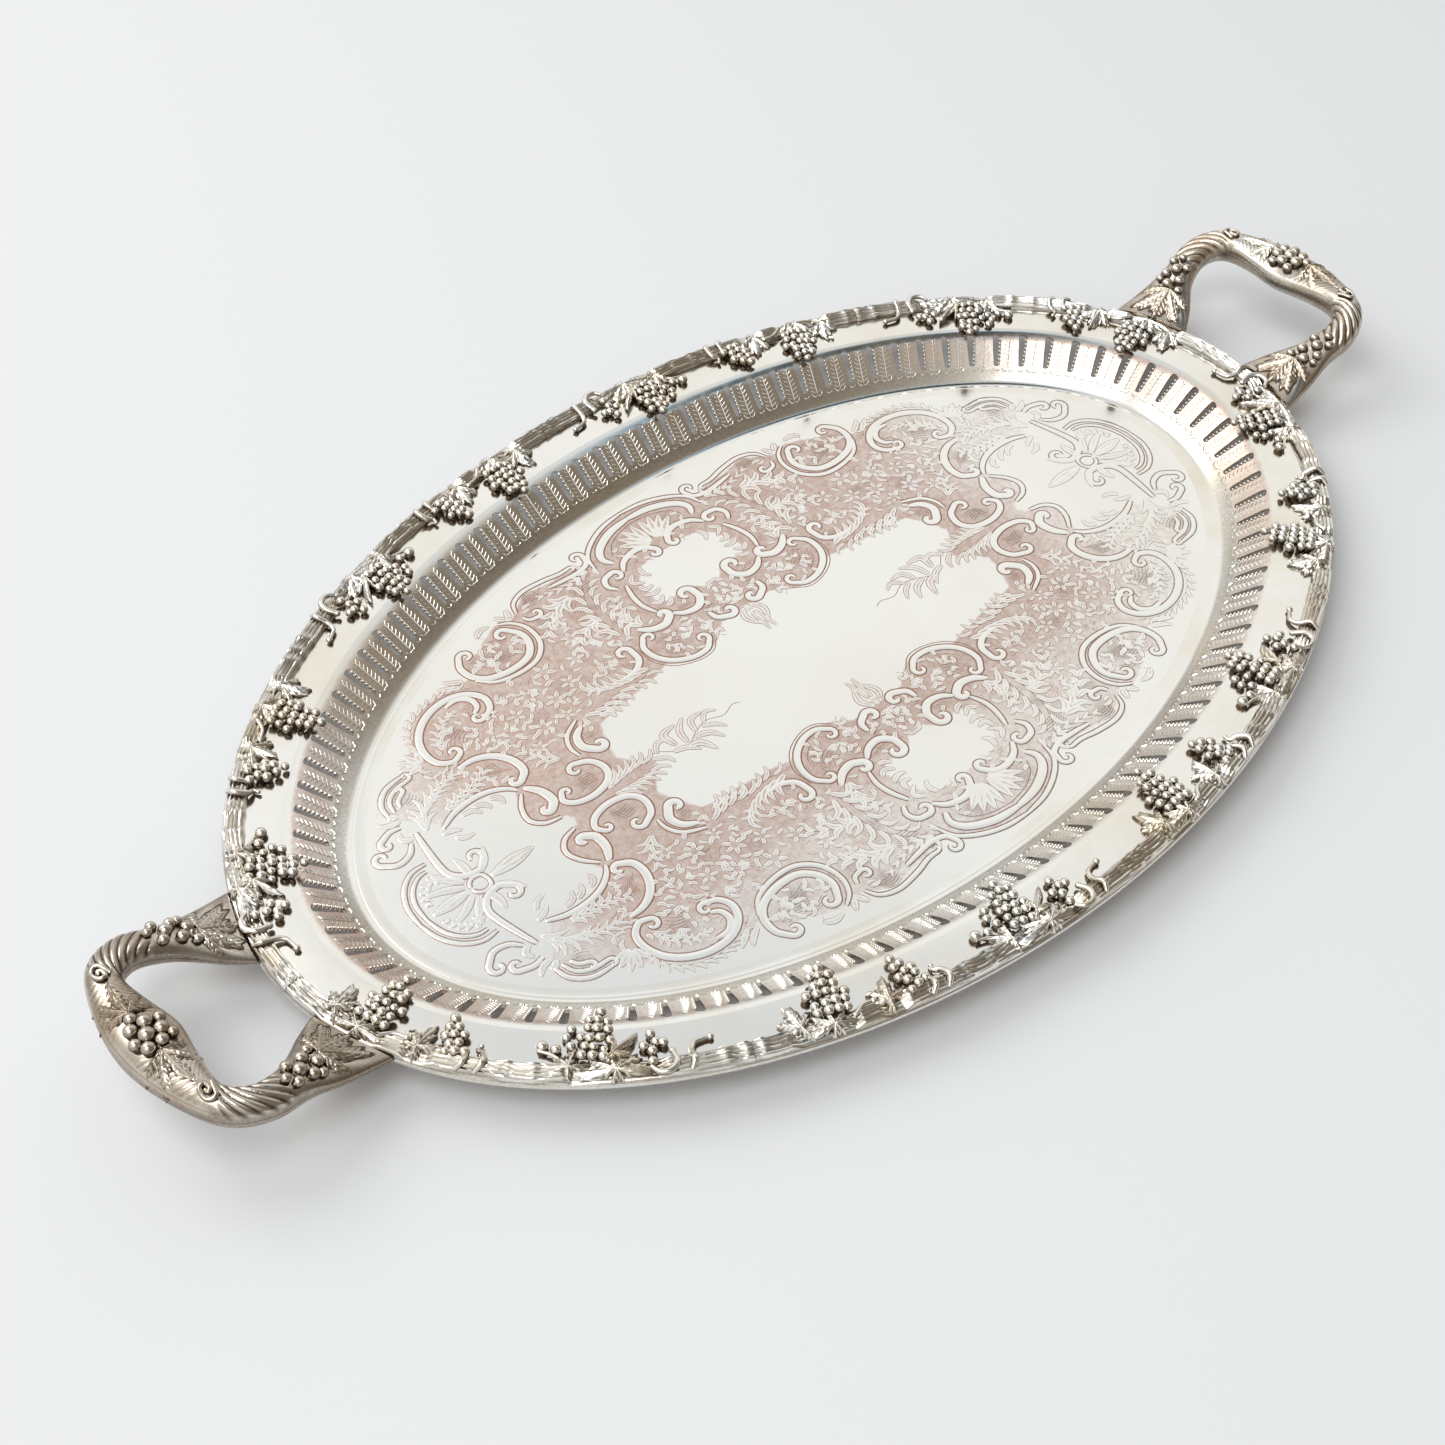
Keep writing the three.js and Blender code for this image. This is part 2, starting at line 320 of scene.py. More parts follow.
def slot_outline():
    """The J-shaped slot: a scalloped side, a plain side and a hooked head."""
    depth, edge = scalloped_side()
    scalloped = np.stack([edge, depth], -1)
    foot = np.array([[-0.7, SLOT_FOOT], [0.2, SLOT_FOOT + 0.1], [1.0, SLOT_FOOT - 0.1]])
    rise = np.linspace(SLOT_FOOT - 0.5, SLOT_HEAD + 1.3, 9)
    plain = np.stack([1.15 + 0.45 * np.sin((SLOT_FOOT - rise) / 12 * 2.2), rise], -1)
    head = np.array([[1.5, 0.6], [1.0, 0.1], [0.0, 0.0], [-1.3, 0.35], [-2.3, 1.1]]) + [0, SLOT_HEAD]
    return np.vstack([scalloped, foot, plain, head])


def inside_outline(points, outline):
    x, y = points[:, 0], points[:, 1]
    crossed = np.zeros(len(points), bool)
    before = outline[-1]
    for corner in outline:
        spans = (corner[1] > y) != (before[1] > y)
        rise = before[1] - corner[1] if before[1] != corner[1] else 1e-9
        crossed ^= spans & (x < (before[0] - corner[0]) * (y - corner[1]) / rise + corner[0])
        before = corner
    return crossed


def gallery_cell():
    """Flat points and triangles of one pitch with its slot cut out."""
    outline = slot_outline()
    across = np.linspace(-PITCH / 2, PITCH / 2, CELL_COLUMNS + 1)
    depth = np.linspace(CELL_TOP, CELL_FOOT, CELL_ROWS + 1)
    grid = np.stack(np.meshgrid(across, depth), -1).reshape(-1, 2)
    gap = np.linalg.norm(grid[:, None] - outline[None], axis=2).min(1)
    grid = grid[(gap > 0.45) & ~inside_outline(grid, outline)]
    points = np.vstack([outline, grid])
    edges = [(k, (k + 1) % len(outline)) for k in range(len(outline))]
    made = delaunay_2d_cdt([Vector(p) for p in points], edges, [], 0, 1e-5)
    flat = np.array([v[:] for v in made[0]])
    faces = np.array([f for f in made[2] if len(f) == 3])
    middle = flat[faces].mean(1)
    faces = faces[~inside_outline(middle, outline)]
    corner = flat[faces]
    edge_a, edge_b = corner[:, 1] - corner[:, 0], corner[:, 2] - corner[:, 0]
    turned = edge_a[:, 0] * edge_b[:, 1] - edge_a[:, 1] * edge_b[:, 0] > 0
    faces[turned] = faces[turned][:, ::-1]
    return flat, faces, len(outline)


def cell_angle(index, across):
    return angle_at((index + SLOT_PHASE + np.asarray(across) / PITCH) / SLOT_COUNT, gallery_arc)


def sheet_angles():
    """Angles of the columns of points that run round the whole sheet."""
    columns = SLOT_COUNT * CELL_COLUMNS
    return angle_at((np.arange(columns) / CELL_COLUMNS - 0.5 + SLOT_PHASE) / SLOT_COUNT, gallery_arc)


def add_gallery(shape):
    """The pierced wall, its copper where the plate has worn and its dark slot feet."""
    flat, faces, slot_count = gallery_cell()
    slot_ring = np.arange(slot_count)
    size = len(flat)
    slot_after = np.roll(slot_ring, -1)
    walls = np.stack([slot_ring, slot_after, slot_after + size, slot_ring + size], -1)
    groups = [faces, faces[:, ::-1] + size, walls[:, ::-1]]
    on_wall = window(flat[:, 1], CELL_TOP + 1.2, CELL_FOOT - 0.6, 2.4)
    # Darker towards the slot feet and the foot of the wall.
    recess = 0.2 + 0.4 * window(flat[:, 1], SLOT_FOOT - 1, CELL_FOOT + 2)
    for index in range(SLOT_COUNT):
        angle = cell_angle(index, flat[:, 0])
        upper = on_sheet(angle, flat[:, 1])
        lower = on_sheet(angle, flat[:, 1], -SHEET)
        bare = np.tile((WALL_COPPER + END_COPPER * np.cos(angle) ** 2) * on_wall, 2)
        shape.add(np.vstack([upper, lower]), groups, np.tile(recess, 2), bare)


def add_flange(shape, around):
    """The flat flange and its rolled edge, more stained towards the rim."""
    turn = np.linspace(math.pi / 2, -math.pi, 10)
    roll = np.stack([ROLL * (1 - np.cos(turn)), FLANGE - ROLL * (1 - np.sin(turn))], -1)
    depths = (CELL_TOP, 20, 17, 12, 7, 4)
    upper = [[d, sheet_height(d)] for d in depths]
    under = [[d, sheet_height(d) - SHEET] for d in depths[::-1]]
    rows = []
    for inset, height in upper + list(roll[:-1]) + under:
        x, y = inset_xy(around, inset)
        rows.append(np.stack([x, y, np.full_like(x, height)], -1))
    stain = np.array([0.1, 0.1, 0.16, 0.27, 0.33, 0.38] + [0.45] * (len(rows) - len(depths)))
    shape.add(np.vstack(rows), [ring_faces(len(rows), len(around))], np.repeat(stain, len(around)))


def add_cove(shape, around):
    """The foot of the wall, a low ridge and the step down to the field."""
    ridge = np.arange(471, 450, -4) / 10
    insets = np.array([FIELD_JOIN, 48.5, *ridge, 44.3, 43.4, 42.5, 41.5, CELL_FOOT])
    swell = 0.1 * np.exp(-(((insets - 46.1) / 0.5) ** 2))
    upper = [on_sheet(around, d, lift) for d, lift in zip(insets, swell)]
    lower = [on_sheet(around, d, -SHEET) for d in insets[::-1]]
    rows = upper + lower
    # Darker at the foot of the wall, light towards the field.
    stain = np.interp(insets, [40, 43, 44.5, 50], [0.5, 0.46, 0.12, 0.05])
    worn = np.repeat(np.concatenate([stain, np.full(len(insets), 0.4)]), len(around))
    shape.add(np.vstack(rows), [ring_faces(len(rows), len(around))], worn)


def tray_sheet():
    """The pressed and pierced sheet as far as the field."""
    shape = Shape()
    around = sheet_angles()
    add_gallery(shape)
    add_flange(shape, around)
    add_cove(shape, around)
    made = shape.make("tray_sheet", 38)
    weld(made)
    return made


def weld(made, distance=0.00002):
    """Joins points that repeat along shared edges, so that the sheet is one skin."""
    work = bmesh.new()
    work.from_mesh(made.data)
    bmesh.ops.remove_doubles(work, verts=work.verts, dist=distance)
    work.to_mesh(made.data)
    work.free()
    made.data.set_sharp_from_angle(angle=math.radians(38))

# ---- engraved fern fronds on the lands between the slots ----
BARB_PAIRS = 8
FROND_HEAD = SLOT_HEAD + 0.9
FROND_FOOT = SLOT_FOOT + 1.7
FROND_SINK = 0.06
FROND_LEAN = 0.9
BEAD = 0.55


def frond_strokes():
    """Strokes of one frond, its foot bracket and the rib along the next slot's lobes,
    about the land's middle: path, half width, height and tarnish."""
    strokes = []
    depth = np.linspace(FROND_HEAD, FROND_FOOT, 12)
    lean = FROND_LEAN * (depth - FROND_HEAD) / (FROND_FOOT - FROND_HEAD) - 0.35
    strokes.append((np.stack([lean, depth], -1), 0.28, 0.2, 0.1))
    for pair in range(BARB_PAIRS):
        share = (pair + 0.7) / BARB_PAIRS
        start = FROND_HEAD + (FROND_FOOT - FROND_HEAD - 0.6) * share
        x = FROND_LEAN * share - 0.35
        reach = 1.3 + 1.7 * min(share * 1.6, 1)
        for side in (-1, 1):
            path = [[x, start], [x + side * reach * 0.5, start - 0.45], [x + side * reach, start - 1.25]]
            strokes.append((smooth_path(path, 6), 0.2, 0.16, 0.1))
    for side in (-1, 1):
        bracket = [[0.55, 0.0], [0.55 + side * 1.6, 0.15], [0.55 + side * 3.0, -1.4]]
        strokes.append((smooth_path(np.array(bracket) + [0, FROND_FOOT], 8), 0.3, 0.35, 0.1))
    sweep = np.linspace(0.15 * np.pi, 0.85 * np.pi, 8)
    lobe = [PITCH / 2 + 0.2 + 1.7 * np.cos(sweep), SLOT_FOOT + 0.3 + 1.5 * np.sin(sweep)]
    strokes.append((np.stack(lobe, -1), 0.28, 0.35, 0.2))
    depth, edge = scalloped_side()
    strokes.append((np.stack([edge + PITCH / 2 - 0.3, depth], -1), 0.28, 0.3, 0.1))
    return strokes


def fern_fronds():
    """The chased frond of every land and the beads along every slot's lobed edge."""
    shape = Shape()
    ribs = []
    for path, width, height, tarnish in frond_strokes():
        ridge = [(1, 0, -FROND_SINK, 0), (0, 0, height, 0), (-1, 0, -FROND_SINK, 0)]
        ribs.append((*strip(path, width, ridge)[:2], tarnish))
    beads = np.arange(LOBES_HEAD + LOBE_PITCH / 2, LOBES_FOOT, LOBE_PITCH)
    bead_lean = EDGE_LEAN * slot_share(beads)
    for index in range(SLOT_COUNT):
        for points, faces, tarnish in ribs:
            angle = cell_angle(index + 0.5, points[:, 0])
            shape.add(on_sheet(angle, points[:, 1], points[:, 2]), faces, tarnish, 0.0)
        bead_angles = cell_angle(index + 0.5, PITCH / 2 - 1.75 + bead_lean)
        for centre in on_sheet(bead_angles, beads, 0.2):
            add_ball(shape, centre, BEAD)
    return shape.make("fern_fronds", 30)


# ---- grapevine border ----
BORDER_COUNT = 8
BORDER_START = 0.001
CASTING = border_arc[-1] / BORDER_COUNT
GRAPE = 1.85


class Surface:
    """Gathers a casting whose template points (x, y, height) are placed on the rim
    or on a handle."""

    def __init__(self, shape, place):
        self.shape = shape
        self.place = place

    def points(self, array):
        array = np.asarray(array, float).reshape(-1, 3)
        return self.place(array[:, 0], array[:, 1], array[:, 2])

    def point(self, x, y, height):
        return self.points([x, y, height])[0]

    def add(self, points, groups, tarnish):
        """Adds a skin, turned over where the template's own handedness is mirrored."""
        origin, ahead, across = self.points([(0, 4, 0), (1, 4, 0), (0, 5, 0)])
        if np.cross(ahead - origin, across - origin)[2] < 0:
            groups = [group[:, ::-1] for group in groups]
        self.shape.add(self.points(points), groups, tarnish)


def rim_surface(index):
    def place(x, y, height):
        angle = angle_at(BORDER_START + (index + x / CASTING) / BORDER_COUNT, border_arc)
        px, py = inset_xy(angle, y)
        return np.stack([px, py, FLANGE + 0.1 + height], -1)

    return Surface(Shape(), place)


LEAF_HEART = 1.4
VEIN_HEIGHT = 0.55
SIDE_VEIN_HEIGHT = 0.22
SIDE_VEIN_PITCH = 1.9


def add_leaf(surface, centre, lobes, thick=2.2, dome=1.0, droop=1.3, spokes=96, rings=12):
    """A lobed leaf. Each lobe is (direction in degrees, length, half width in degrees)."""
    phi = np.linspace(0, 2 * np.pi, spokes, endpoint=False)
    reach = np.zeros(spokes)
    nearest = np.full(spokes, 9.0)
    for direction, length, width in lobes:
        apart = np.angle(np.exp(1j * (phi - math.radians(direction))))
        reach += (length * np.exp(-((apart / math.radians(width)) ** 2))) ** 4
        nearest = np.where(np.abs(apart) < np.abs(nearest), apart, nearest)
    outline = (reach + LEAF_HEART**4) ** 0.25
    outline = outline * (1 + 0.075 * np.cos(phi * 24) + 0.04 * np.cos(phi * 13 + 1))
    top = []
    worn = []
    for t in np.linspace(0, 1, rings + 1)[1:]:
        r = outline * t
        off_axis = r * np.sin(np.abs(nearest))
        along = r * np.cos(nearest)
        vein = VEIN_HEIGHT * np.exp(-((off_axis / 0.5) ** 2)) * (1 - 0.6 * t)
        side_veins = np.cos(2 * np.pi * (along - off_axis * 0.9) / SIDE_VEIN_PITCH)
        side_veins = SIDE_VEIN_HEIGHT * side_veins * min(t * 2, 1)
        valley = np.minimum(np.abs(nearest), 0.7) ** 1.2 * 0.9 * t
        height = thick + dome * (1 - t**2) - droop * t**3 - valley + vein + side_veins
        top.append(np.stack([centre[0] + r * np.cos(phi), centre[1] + r * np.sin(phi), height], -1))
        worn.append(np.clip(0.3 + valley * 0.9 + 0.25 * t**4 - vein - side_veins * 1.8, 0, 1))
    rows = np.stack([*top, top[-1] * [1, 1, 0]])
    count = rows.shape[0] * spokes
    points = np.vstack([rows.reshape(-1, 3), [[*centre, thick + dome], [*centre, 0]]])
    ring = np.arange(spokes)
    after = np.roll(ring, -1)
    hub = fan_faces(count, ring, after)
    base = fan_faces(count + 1, after + count - spokes, ring + count - spokes)
    skin = ring_faces(rows.shape[0], spokes)
    worn = np.concatenate([*worn, np.full(spokes, 0.9), [0.1, 0.9]])
    surface.add(points, [skin, hub, base], worn)


def add_grape(surface, x, y, height, radius=GRAPE):
    add_ball(surface.shape, surface.point(x, y, height), radius, 0.92)


def add_bunch(surface, top, tip, rows, width, crown=3.4):
    """Rows of grapes from the bunch's top to its tip, widest below the top."""
    top, tip = np.array(top, float), np.array(tip, float)
    ahead = (tip - top) / np.linalg.norm(tip - top)
    side = np.array([-ahead[1], ahead[0]])
    pitch = GRAPE * 1.84
    for row in range(rows):
        t = row / (rows - 1)
        span = width * (0.62 + 1.5 * t * (1 - t)) * (1 - t**3) ** 0.8
        count = max(1, int(round(span / pitch)) + (row + 1) % 2)
        for k in range(count):
            across = (k - (count - 1) / 2) * pitch
            jitter = random.uniform(-0.42, 0.42, 3)
            place = top + (tip - top) * t + side * (across + jitter[0])
            bulge = 1 - (2 * across / (width + 2)) ** 2
            height = crown * (0.48 + 0.52 * max(bulge, 0)) * (1 - 0.25 * t) + jitter[2]
            radius = GRAPE * random.uniform(0.88, 1.12)
            add_grape(surface, place[0], place[1] + jitter[1], height, radius)


def add_vine_tube(surface, path, radii, tip_ball=0.0, height=2.2):
    """A tendril along given points (x, y) or (x, y, height)."""
    path = [list(p) + [height] * (3 - len(p)) for p in path]
    curve = surface.points(smooth_path(path, 8 * len(path)))
    radii = np.interp(np.linspace(0, 1, len(curve)), np.linspace(0, 1, len(radii)), radii)
    add_tube(surface.shape, curve, radii)
    if tip_ball:
        add_ball(surface.shape, curve[-1], tip_ball, 0.9)


BARK_HALF = 4.0
BARK_MIDDLE = 4.2
BARK_HEIGHT = 2.7
BARK_COLUMNS = 21
BARK_STEP = 0.55
FLUTE_DEPTH = 0.38
KNOTS = (4, 79, 88, 150, 157)
# Stretches where the leaves lie over the bark and press it flat.
COVERED = ((13, 38), (44, 56), (97, 131))


def add_bark(surface, start, end):
    """The vine's stem along the rim: a half round with wandering flutes and knots."""
    steps = int((end - start) / BARK_STEP)
    x = np.linspace(start, end, steps)
    share = np.linspace(-1, 1, BARK_COLUMNS)
    wander = 0.35 * np.sin(x / 7.3) + 0.2 * np.sin(x / 3.1 + 1)
    knots = sum(0.5 * np.exp(-(((x - k) / 1.6) ** 2)) for k in KNOTS)
    covered = sum(window(x, low, high, 3.0) for low, high in COVERED)
    along, across = np.meshgrid(x, share, indexing="ij")
    bend = wander[:, None] * (1 - np.abs(across))
    sway = 5.2 * np.pi * (across + 0.05 * np.sin(along / 4.1)) + 0.6 * np.sin(along / 6.0)
    flutes = FLUTE_DEPTH * np.cos(sway)
    barrel = np.sqrt(np.maximum(1 - across**2, 0))
    height = 0.5 + (BARK_HEIGHT + knots[:, None]) * barrel + flutes * (1 - across**4)
    height = height * (1 - 0.62 * covered[:, None])
    y = BARK_MIDDLE + (BARK_HALF + 0.5 * knots[:, None]) * across + bend
    top = np.stack([along, y, np.maximum(height, 0.3)], -1)
    base = np.stack([along, y, np.zeros_like(along)], -1)[:, ::-1]
    rows = np.concatenate([top, base], 1)
    columns = rows.shape[1]
    worn = np.concatenate([np.clip(0.36 - flutes * 0.9, 0, 1), np.full(base.shape[:2], 0.8)], 1)
    skin = ring_faces(steps, columns, flip=True)
    ends = end_faces(BARK_COLUMNS, steps, columns)
    surface.add(rows, [skin, *ends], worn.ravel())


def first_spray(rim):
    """Leaves with a large bunch, a leaf with a medium bunch, and curls."""
    broad = [
        (0, 9.5, 32), (48, 8, 30), (92, 8.5, 30), (136, 8.5, 30),
        (180, 10, 30), (250, 4, 40), (300, 4, 40),
    ]
    folded = [(98, 11, 34), (52, 8, 30), (146, 8, 30), (200, 6, 34), (300, 6, 40)]
    small = [(78, 10.5, 34), (125, 8.5, 30), (168, 6.5, 32), (20, 9, 32), (270, 5, 60)]
    add_leaf(rim, (28.5, 3.8), broad, 2.4)
    add_leaf(rim, (17.4, 6.8), folded, 2.2)
    add_bunch(rim, (30.2, 9.6), (32.0, 28.3), 6, 14.0)
    add_vine_tube(rim, [(36, 4.5, 3.2), (40, 7.6, 2.6), (44.5, 8.0, 2.2)], (0.9, 0.8, 0.6), 1.2)
    add_leaf(rim, (49.2, 5.6), small, 2.2)
    add_bunch(rim, (61.5, 7.2), (57.4, 20.2), 5, 9.0)
    add_vine_tube(rim, [(63.5, 0.9, 2.6), (65.6, 3.5, 4.4), (65.3, 8.2, 2.6)], (1.0, 1.15, 0.8))
    curl = [(69.6, 0.9, 2.4), (71.6, 4.0, 4.4), (70.8, 8.4, 2.6), (68.6, 10.0, 1.7), (69.3, 12.2, 1.4)]
    add_vine_tube(rim, curl, (0.9, 1.25, 1.3, 0.8, 0.6), 0.9)


def second_spray(rim):
    """Small grapes, a large bunch under a folded leaf, a small bunch, a curl and a
    tendril."""
    small = [(80, 9, 34), (130, 8, 32), (180, 6, 34), (270, 5, 50), (15, 8, 32)]
    broad = [
        (0, 14, 26), (38, 10, 28), (75, 8.5, 28), (112, 9, 28),
        (148, 10.5, 28), (182, 14, 26), (250, 4, 40), (300, 4, 40),
    ]
    folded = [(42, 12.5, 17), (80, 7, 20), (8, 7, 20), (225, 5, 30)]
    add_leaf(rim, (99.0, 5.6), small, 2.0)
    loose = ((89.6, 14.4, 2.2), (94.3, 13.4, 1.9), (99.3, 14.8, 1.7), (97.6, 18.2, 1.7), (99.2, 21.4, 1.8))
    for x, y, size in loose:
        add_grape(rim, x, y, 1.5, size)
    add_vine_tube(rim, [(96.5, 8.5, 1.6), (93.0, 11.2, 1.6), (88.4, 12.4, 1.8)], (0.7, 0.7, 0.5))
    add_leaf(rim, (114.5, 3.8), broad, 2.4)
    add_bunch(rim, (106.8, 9.4), (109.4, 28.3), 6, 11.0)
    add_leaf(rim, (113.0, 9.5), folded, 3.8, 1.0, 2.0)
    for x, y in ((126.3, 6.6), (126.6, 10.8), (123.9, 13.0), (128.2, 14.2), (130.6, 13.6), (126.6, 17.6)):
        add_grape(rim, x, y, 1.9, 1.8)
    curl = [(125.5, 3.6, 3.4), (128.0, 1.0, 3.6), (131.8, 1.2, 3.6), (134.0, 4.6, 3.4), (133.2, 9.4, 2.2)]
    add_vine_tube(rim, curl, (0.8, 1.1, 1.25, 1.35, 1.1), 1.3)
    tendril = [
        (138.4, 0.8, 2.8), (139.8, 4.0, 4.3), (139.3, 8.4, 2.2),
        (140.8, 11.9, 1.5), (143.8, 12.9, 1.3), (146.6, 13.3, 1.3),
    ]
    add_vine_tube(rim, tendril, (0.8, 1.1, 1.1, 0.95, 0.75, 0.8), 1.3)


def vine_border(index):
    """One casting: the bark along the whole of it and two sprays over the bark."""
    rim = rim_surface(index)
    add_bark(rim, 0.1, CASTING - 0.1)
    first_spray(rim)
    second_spray(rim)
    return rim.shape.make(f"grapevine_{index + 1}", 50)


# ---- handles ----
# Half of the loop from a foot to the middle of the grip: inner edge, outer edge,
# height of the seam and half the thickness, the same as the frame's.
FOOT_INNER, FOOT_OUTER = 16.0, 48.3


def rim_x(y):
    return HALF_LENGTH * np.sqrt(1 - (y / HALF_WIDTH) ** 2) + 0.35


half_loop = [
    (rim_x(FOOT_INNER), FOOT_INNER, rim_x(FOOT_OUTER), FOOT_OUTER, 15.8, 2.9),
    (264.5, 22.5, 262.5, 47, 19.6, 4.2),
    (276, 31, 274.5, 46.2, 24.2, 5.5),
    (287.3, 34.2, 288, 47.6, 28.6, 6.2),
    (294.6, 31.2, 299.5, 43.8, 31.3, 6.5),
    (296.3, 24.6, 307.2, 35, 32.7, 6.5),
    (294.8, 13.5, 313.4, 17, 33.2, 6.6),
    (292.6, 0, GRIP_END, 0, 33.2, 6.8),
]
other_half = [(a, -b, c, -d, e, f) for a, b, c, d, e, f in half_loop[-2::-1]]
loop_fine = smooth_path(np.array(half_loop + other_half), 1200)
loop_middle = (loop_fine[:, 0:2] + loop_fine[:, 2:4]) / 2
loop_arc = np.concatenate([[0], np.cumsum(np.linalg.norm(np.diff(loop_middle, axis=0), axis=1))])
LOOP = loop_arc[-1]
HANDLE_SIDE = 0.8
SEAM_GAP = 0.12
HALF_STEPS = 380
HALF_COLUMNS = 33
FOOT_FADE = LOOP * 3 / 32
STRAND_PITCH = 4.2
STRAND_TURN = 1.7


def loop_at(along):
    return np.stack([np.interp(along, loop_arc, loop_fine[:, k]) for k in range(6)], -1)


def handle_surface(shape, hand):
    """x runs along the loop, y across it outwards from its middle line, and height
    stands on the domed upper face."""
    turn = -1 if hand == "left" else 1

    def place(x, y, height):
        at = loop_at(np.clip(x, 0, LOOP))
        inner_edge, outer_edge = at[:, 0:2], at[:, 2:4]
        wide = np.linalg.norm(outer_edge - inner_edge, axis=1)
        across = (outer_edge - inner_edge) / wide[:, None]
        share = np.clip(2 * y / wide, -1, 1)
        flat = (inner_edge + outer_edge) / 2 + across * y[:, None]
        dome = HANDLE_SIDE + (at[:, 5] - HANDLE_SIDE) * np.sqrt(1 - share**2)
        return np.stack([turn * flat[:, 0], turn * flat[:, 1], at[:, 4] + 0.15 + dome + height], -1)

    return Surface(shape, place)


def window(x, start, end, soft=2.0):
    return np.clip((x - start) / soft, 0, 1) * np.clip((end - x) / soft, 0, 1)


def foot_bulge(y, fade):
    share = (np.abs(y) - FOOT_INNER) / (FOOT_OUTER - FOOT_INNER)
    chord = rim_x(FOOT_INNER) + (rim_x(FOOT_OUTER) - rim_x(FOOT_INNER)) * share
    return fade * np.maximum(0, rim_x(np.clip(y, -FOOT_OUTER, FOOT_OUTER)) - chord)


def upper_relief(near, across):
    """Folds of the foot leaf, twisted strands, veins of the grip leaf and the roll
    along both edges, by distance from the nearer foot and share of the width."""
    twist = np.abs(np.sin(np.pi * (near / STRAND_PITCH + STRAND_TURN * across)))
    strands = window(near, 31, 55) * (twist - 0.6)
    spread = np.arctan2(across * 15, 22 - near)
    folds = window(near, 1.0, 15, 4) * (0.35 * np.abs(np.cos(spread * 9)) - 0.2)
    veins = window(near, 60, 84, 3) * 0.12 * np.cos(2 * np.pi * (near - np.abs(across) * 6) / 2.3)
    roll = 0.35 * np.exp(-(((np.abs(across) - 0.9) / 0.07) ** 2)) * window(near, 56, 200)
    return (strands + folds + veins) * (1 - across**6) + roll


def casting_half(hand, side, name):
    """The upper (side +1) or lower (side -1) half casting of a handle."""
    turn = -1 if hand == "left" else 1
    along = np.linspace(0, LOOP, HALF_STEPS)
    at = loop_at(along)
    share = -np.cos(np.linspace(0, np.pi, HALF_COLUMNS))
    across, near = np.meshgrid(share, np.minimum(along, LOOP - along))
    inner_edge, outer_edge = at[:, None, 0:2], at[:, None, 2:4]
    flat = inner_edge + (outer_edge - inner_edge) * ((across + 1) / 2)[..., None]
    seam, half = at[:, 4][:, None], at[:, 5][:, None]
    height = HANDLE_SIDE + (half - HANDLE_SIDE) * np.sqrt(1 - across**2)
    worn = np.full_like(across, 0.6)
    if side > 0:
        relief = upper_relief(near, across)
        height = height + relief
        worn = np.clip(0.42 - relief * 1.2 + 0.22 * np.abs(across) ** 3, 0, 1)
    x = flat[..., 0] + foot_bulge(flat[..., 1], np.clip(1 - near / FOOT_FADE, 0, 1))
    dome = np.stack([turn * x, turn * flat[..., 1], seam + side * (SEAM_GAP + height)], -1)
    face = np.stack([turn * x, turn * flat[..., 1], seam + side * SEAM_GAP + 0 * across], -1)
    rows = np.concatenate([dome, face[:, ::-1]], 1)
    worn = np.concatenate([worn, np.full_like(worn, 0.6)], 1)
    skin = ring_faces(HALF_STEPS, 2 * HALF_COLUMNS, side < 0)
    ends = end_faces(HALF_COLUMNS, HALF_STEPS, 2 * HALF_COLUMNS, side < 0)
    shape = Shape()
    shape.add(rows, [skin, *ends], worn.ravel())
    if side > 0:
        dress_handle(handle_surface(shape, hand))
    return shape.make(name, 45)


def paired_lobes(back, middle, pairs, tail):
    """A leaf's lobes: one in the middle, pairs beside it and one at the stalk."""
    sides = [(back + turn * apart, long, wide) for apart, long, wide in pairs for turn in (1, -1)]
    return [(back, *middle), *sides, (back + 180, *tail)]


FOOT_GRAPES = (
    (17.5, 2.4, 2.5), (21, -2.4, 2.4), (22, 5.0, 2.3), (25, 1.0, 2.6), (27.5, -3.2, 2.2),
    (28.5, 4.2, 2.1), (18.8, 6.8, 1.9), (31.0, 0.8, 1.9), (16.8, -3.8, 2.0),
)
MIDDLE_GRAPES = (
    (-6, 3.0, 2.6), (-6.4, -2.2, 2.4), (-1.8, 5.4, 2.4), (-1.4, 0.6, 3.0), (-2.0, -4.6, 2.7),
    (3.4, 3.6, 2.6), (3.6, -1.8, 2.8), (2.8, -6.6, 2.3), (7.4, 1.0, 2.3), (-5.6, -6.8, 2.1),
)
COIL_MIDDLE = 58
COIL_SPREAD = 0.38


def dress_end(grip, far):
    """The foot leaf, foot grapes, coil and grip leaf at one end of the loop."""
    def along(x):
        return LOOP - x if far else x

    back = 0 if far else 180
    foot_lobes = paired_lobes(back, (14, 30), ((40, 16, 28), (82, 12, 30)), (6, 60))
    add_leaf(grip, (along(14.5), 0), foot_lobes, 0.4, 1.5, 0.8, 144, 22)
    for x, y, size in FOOT_GRAPES:
        add_grape(grip, along(x), y, 1.1, size)
    coil = []
    for angle in np.linspace(0, 3.4 * np.pi, 9):
        radius = COIL_SPREAD * angle
        coil.append((along(COIL_MIDDLE + radius * math.cos(angle)), 0.9 + radius * math.sin(angle), 0.75))
    add_vine_tube(grip, coil, (0.8, 0.95, 0.85))
    grip_lobes = paired_lobes(back, (16.5, 20), ((38, 13.5, 22), (78, 10, 26)), (5, 60))
    add_leaf(grip, (along(79), 0), grip_lobes, 0.4, 1.3, 0.8, 144, 22)


def dress_handle(grip):
    """Leaves, grapes and curls on the upper casting."""
    dress_end(grip, far=False)
    dress_end(grip, far=True)
    for x, y, size in MIDDLE_GRAPES:
        add_grape(grip, LOOP / 2 + x, y, 1.3, size)


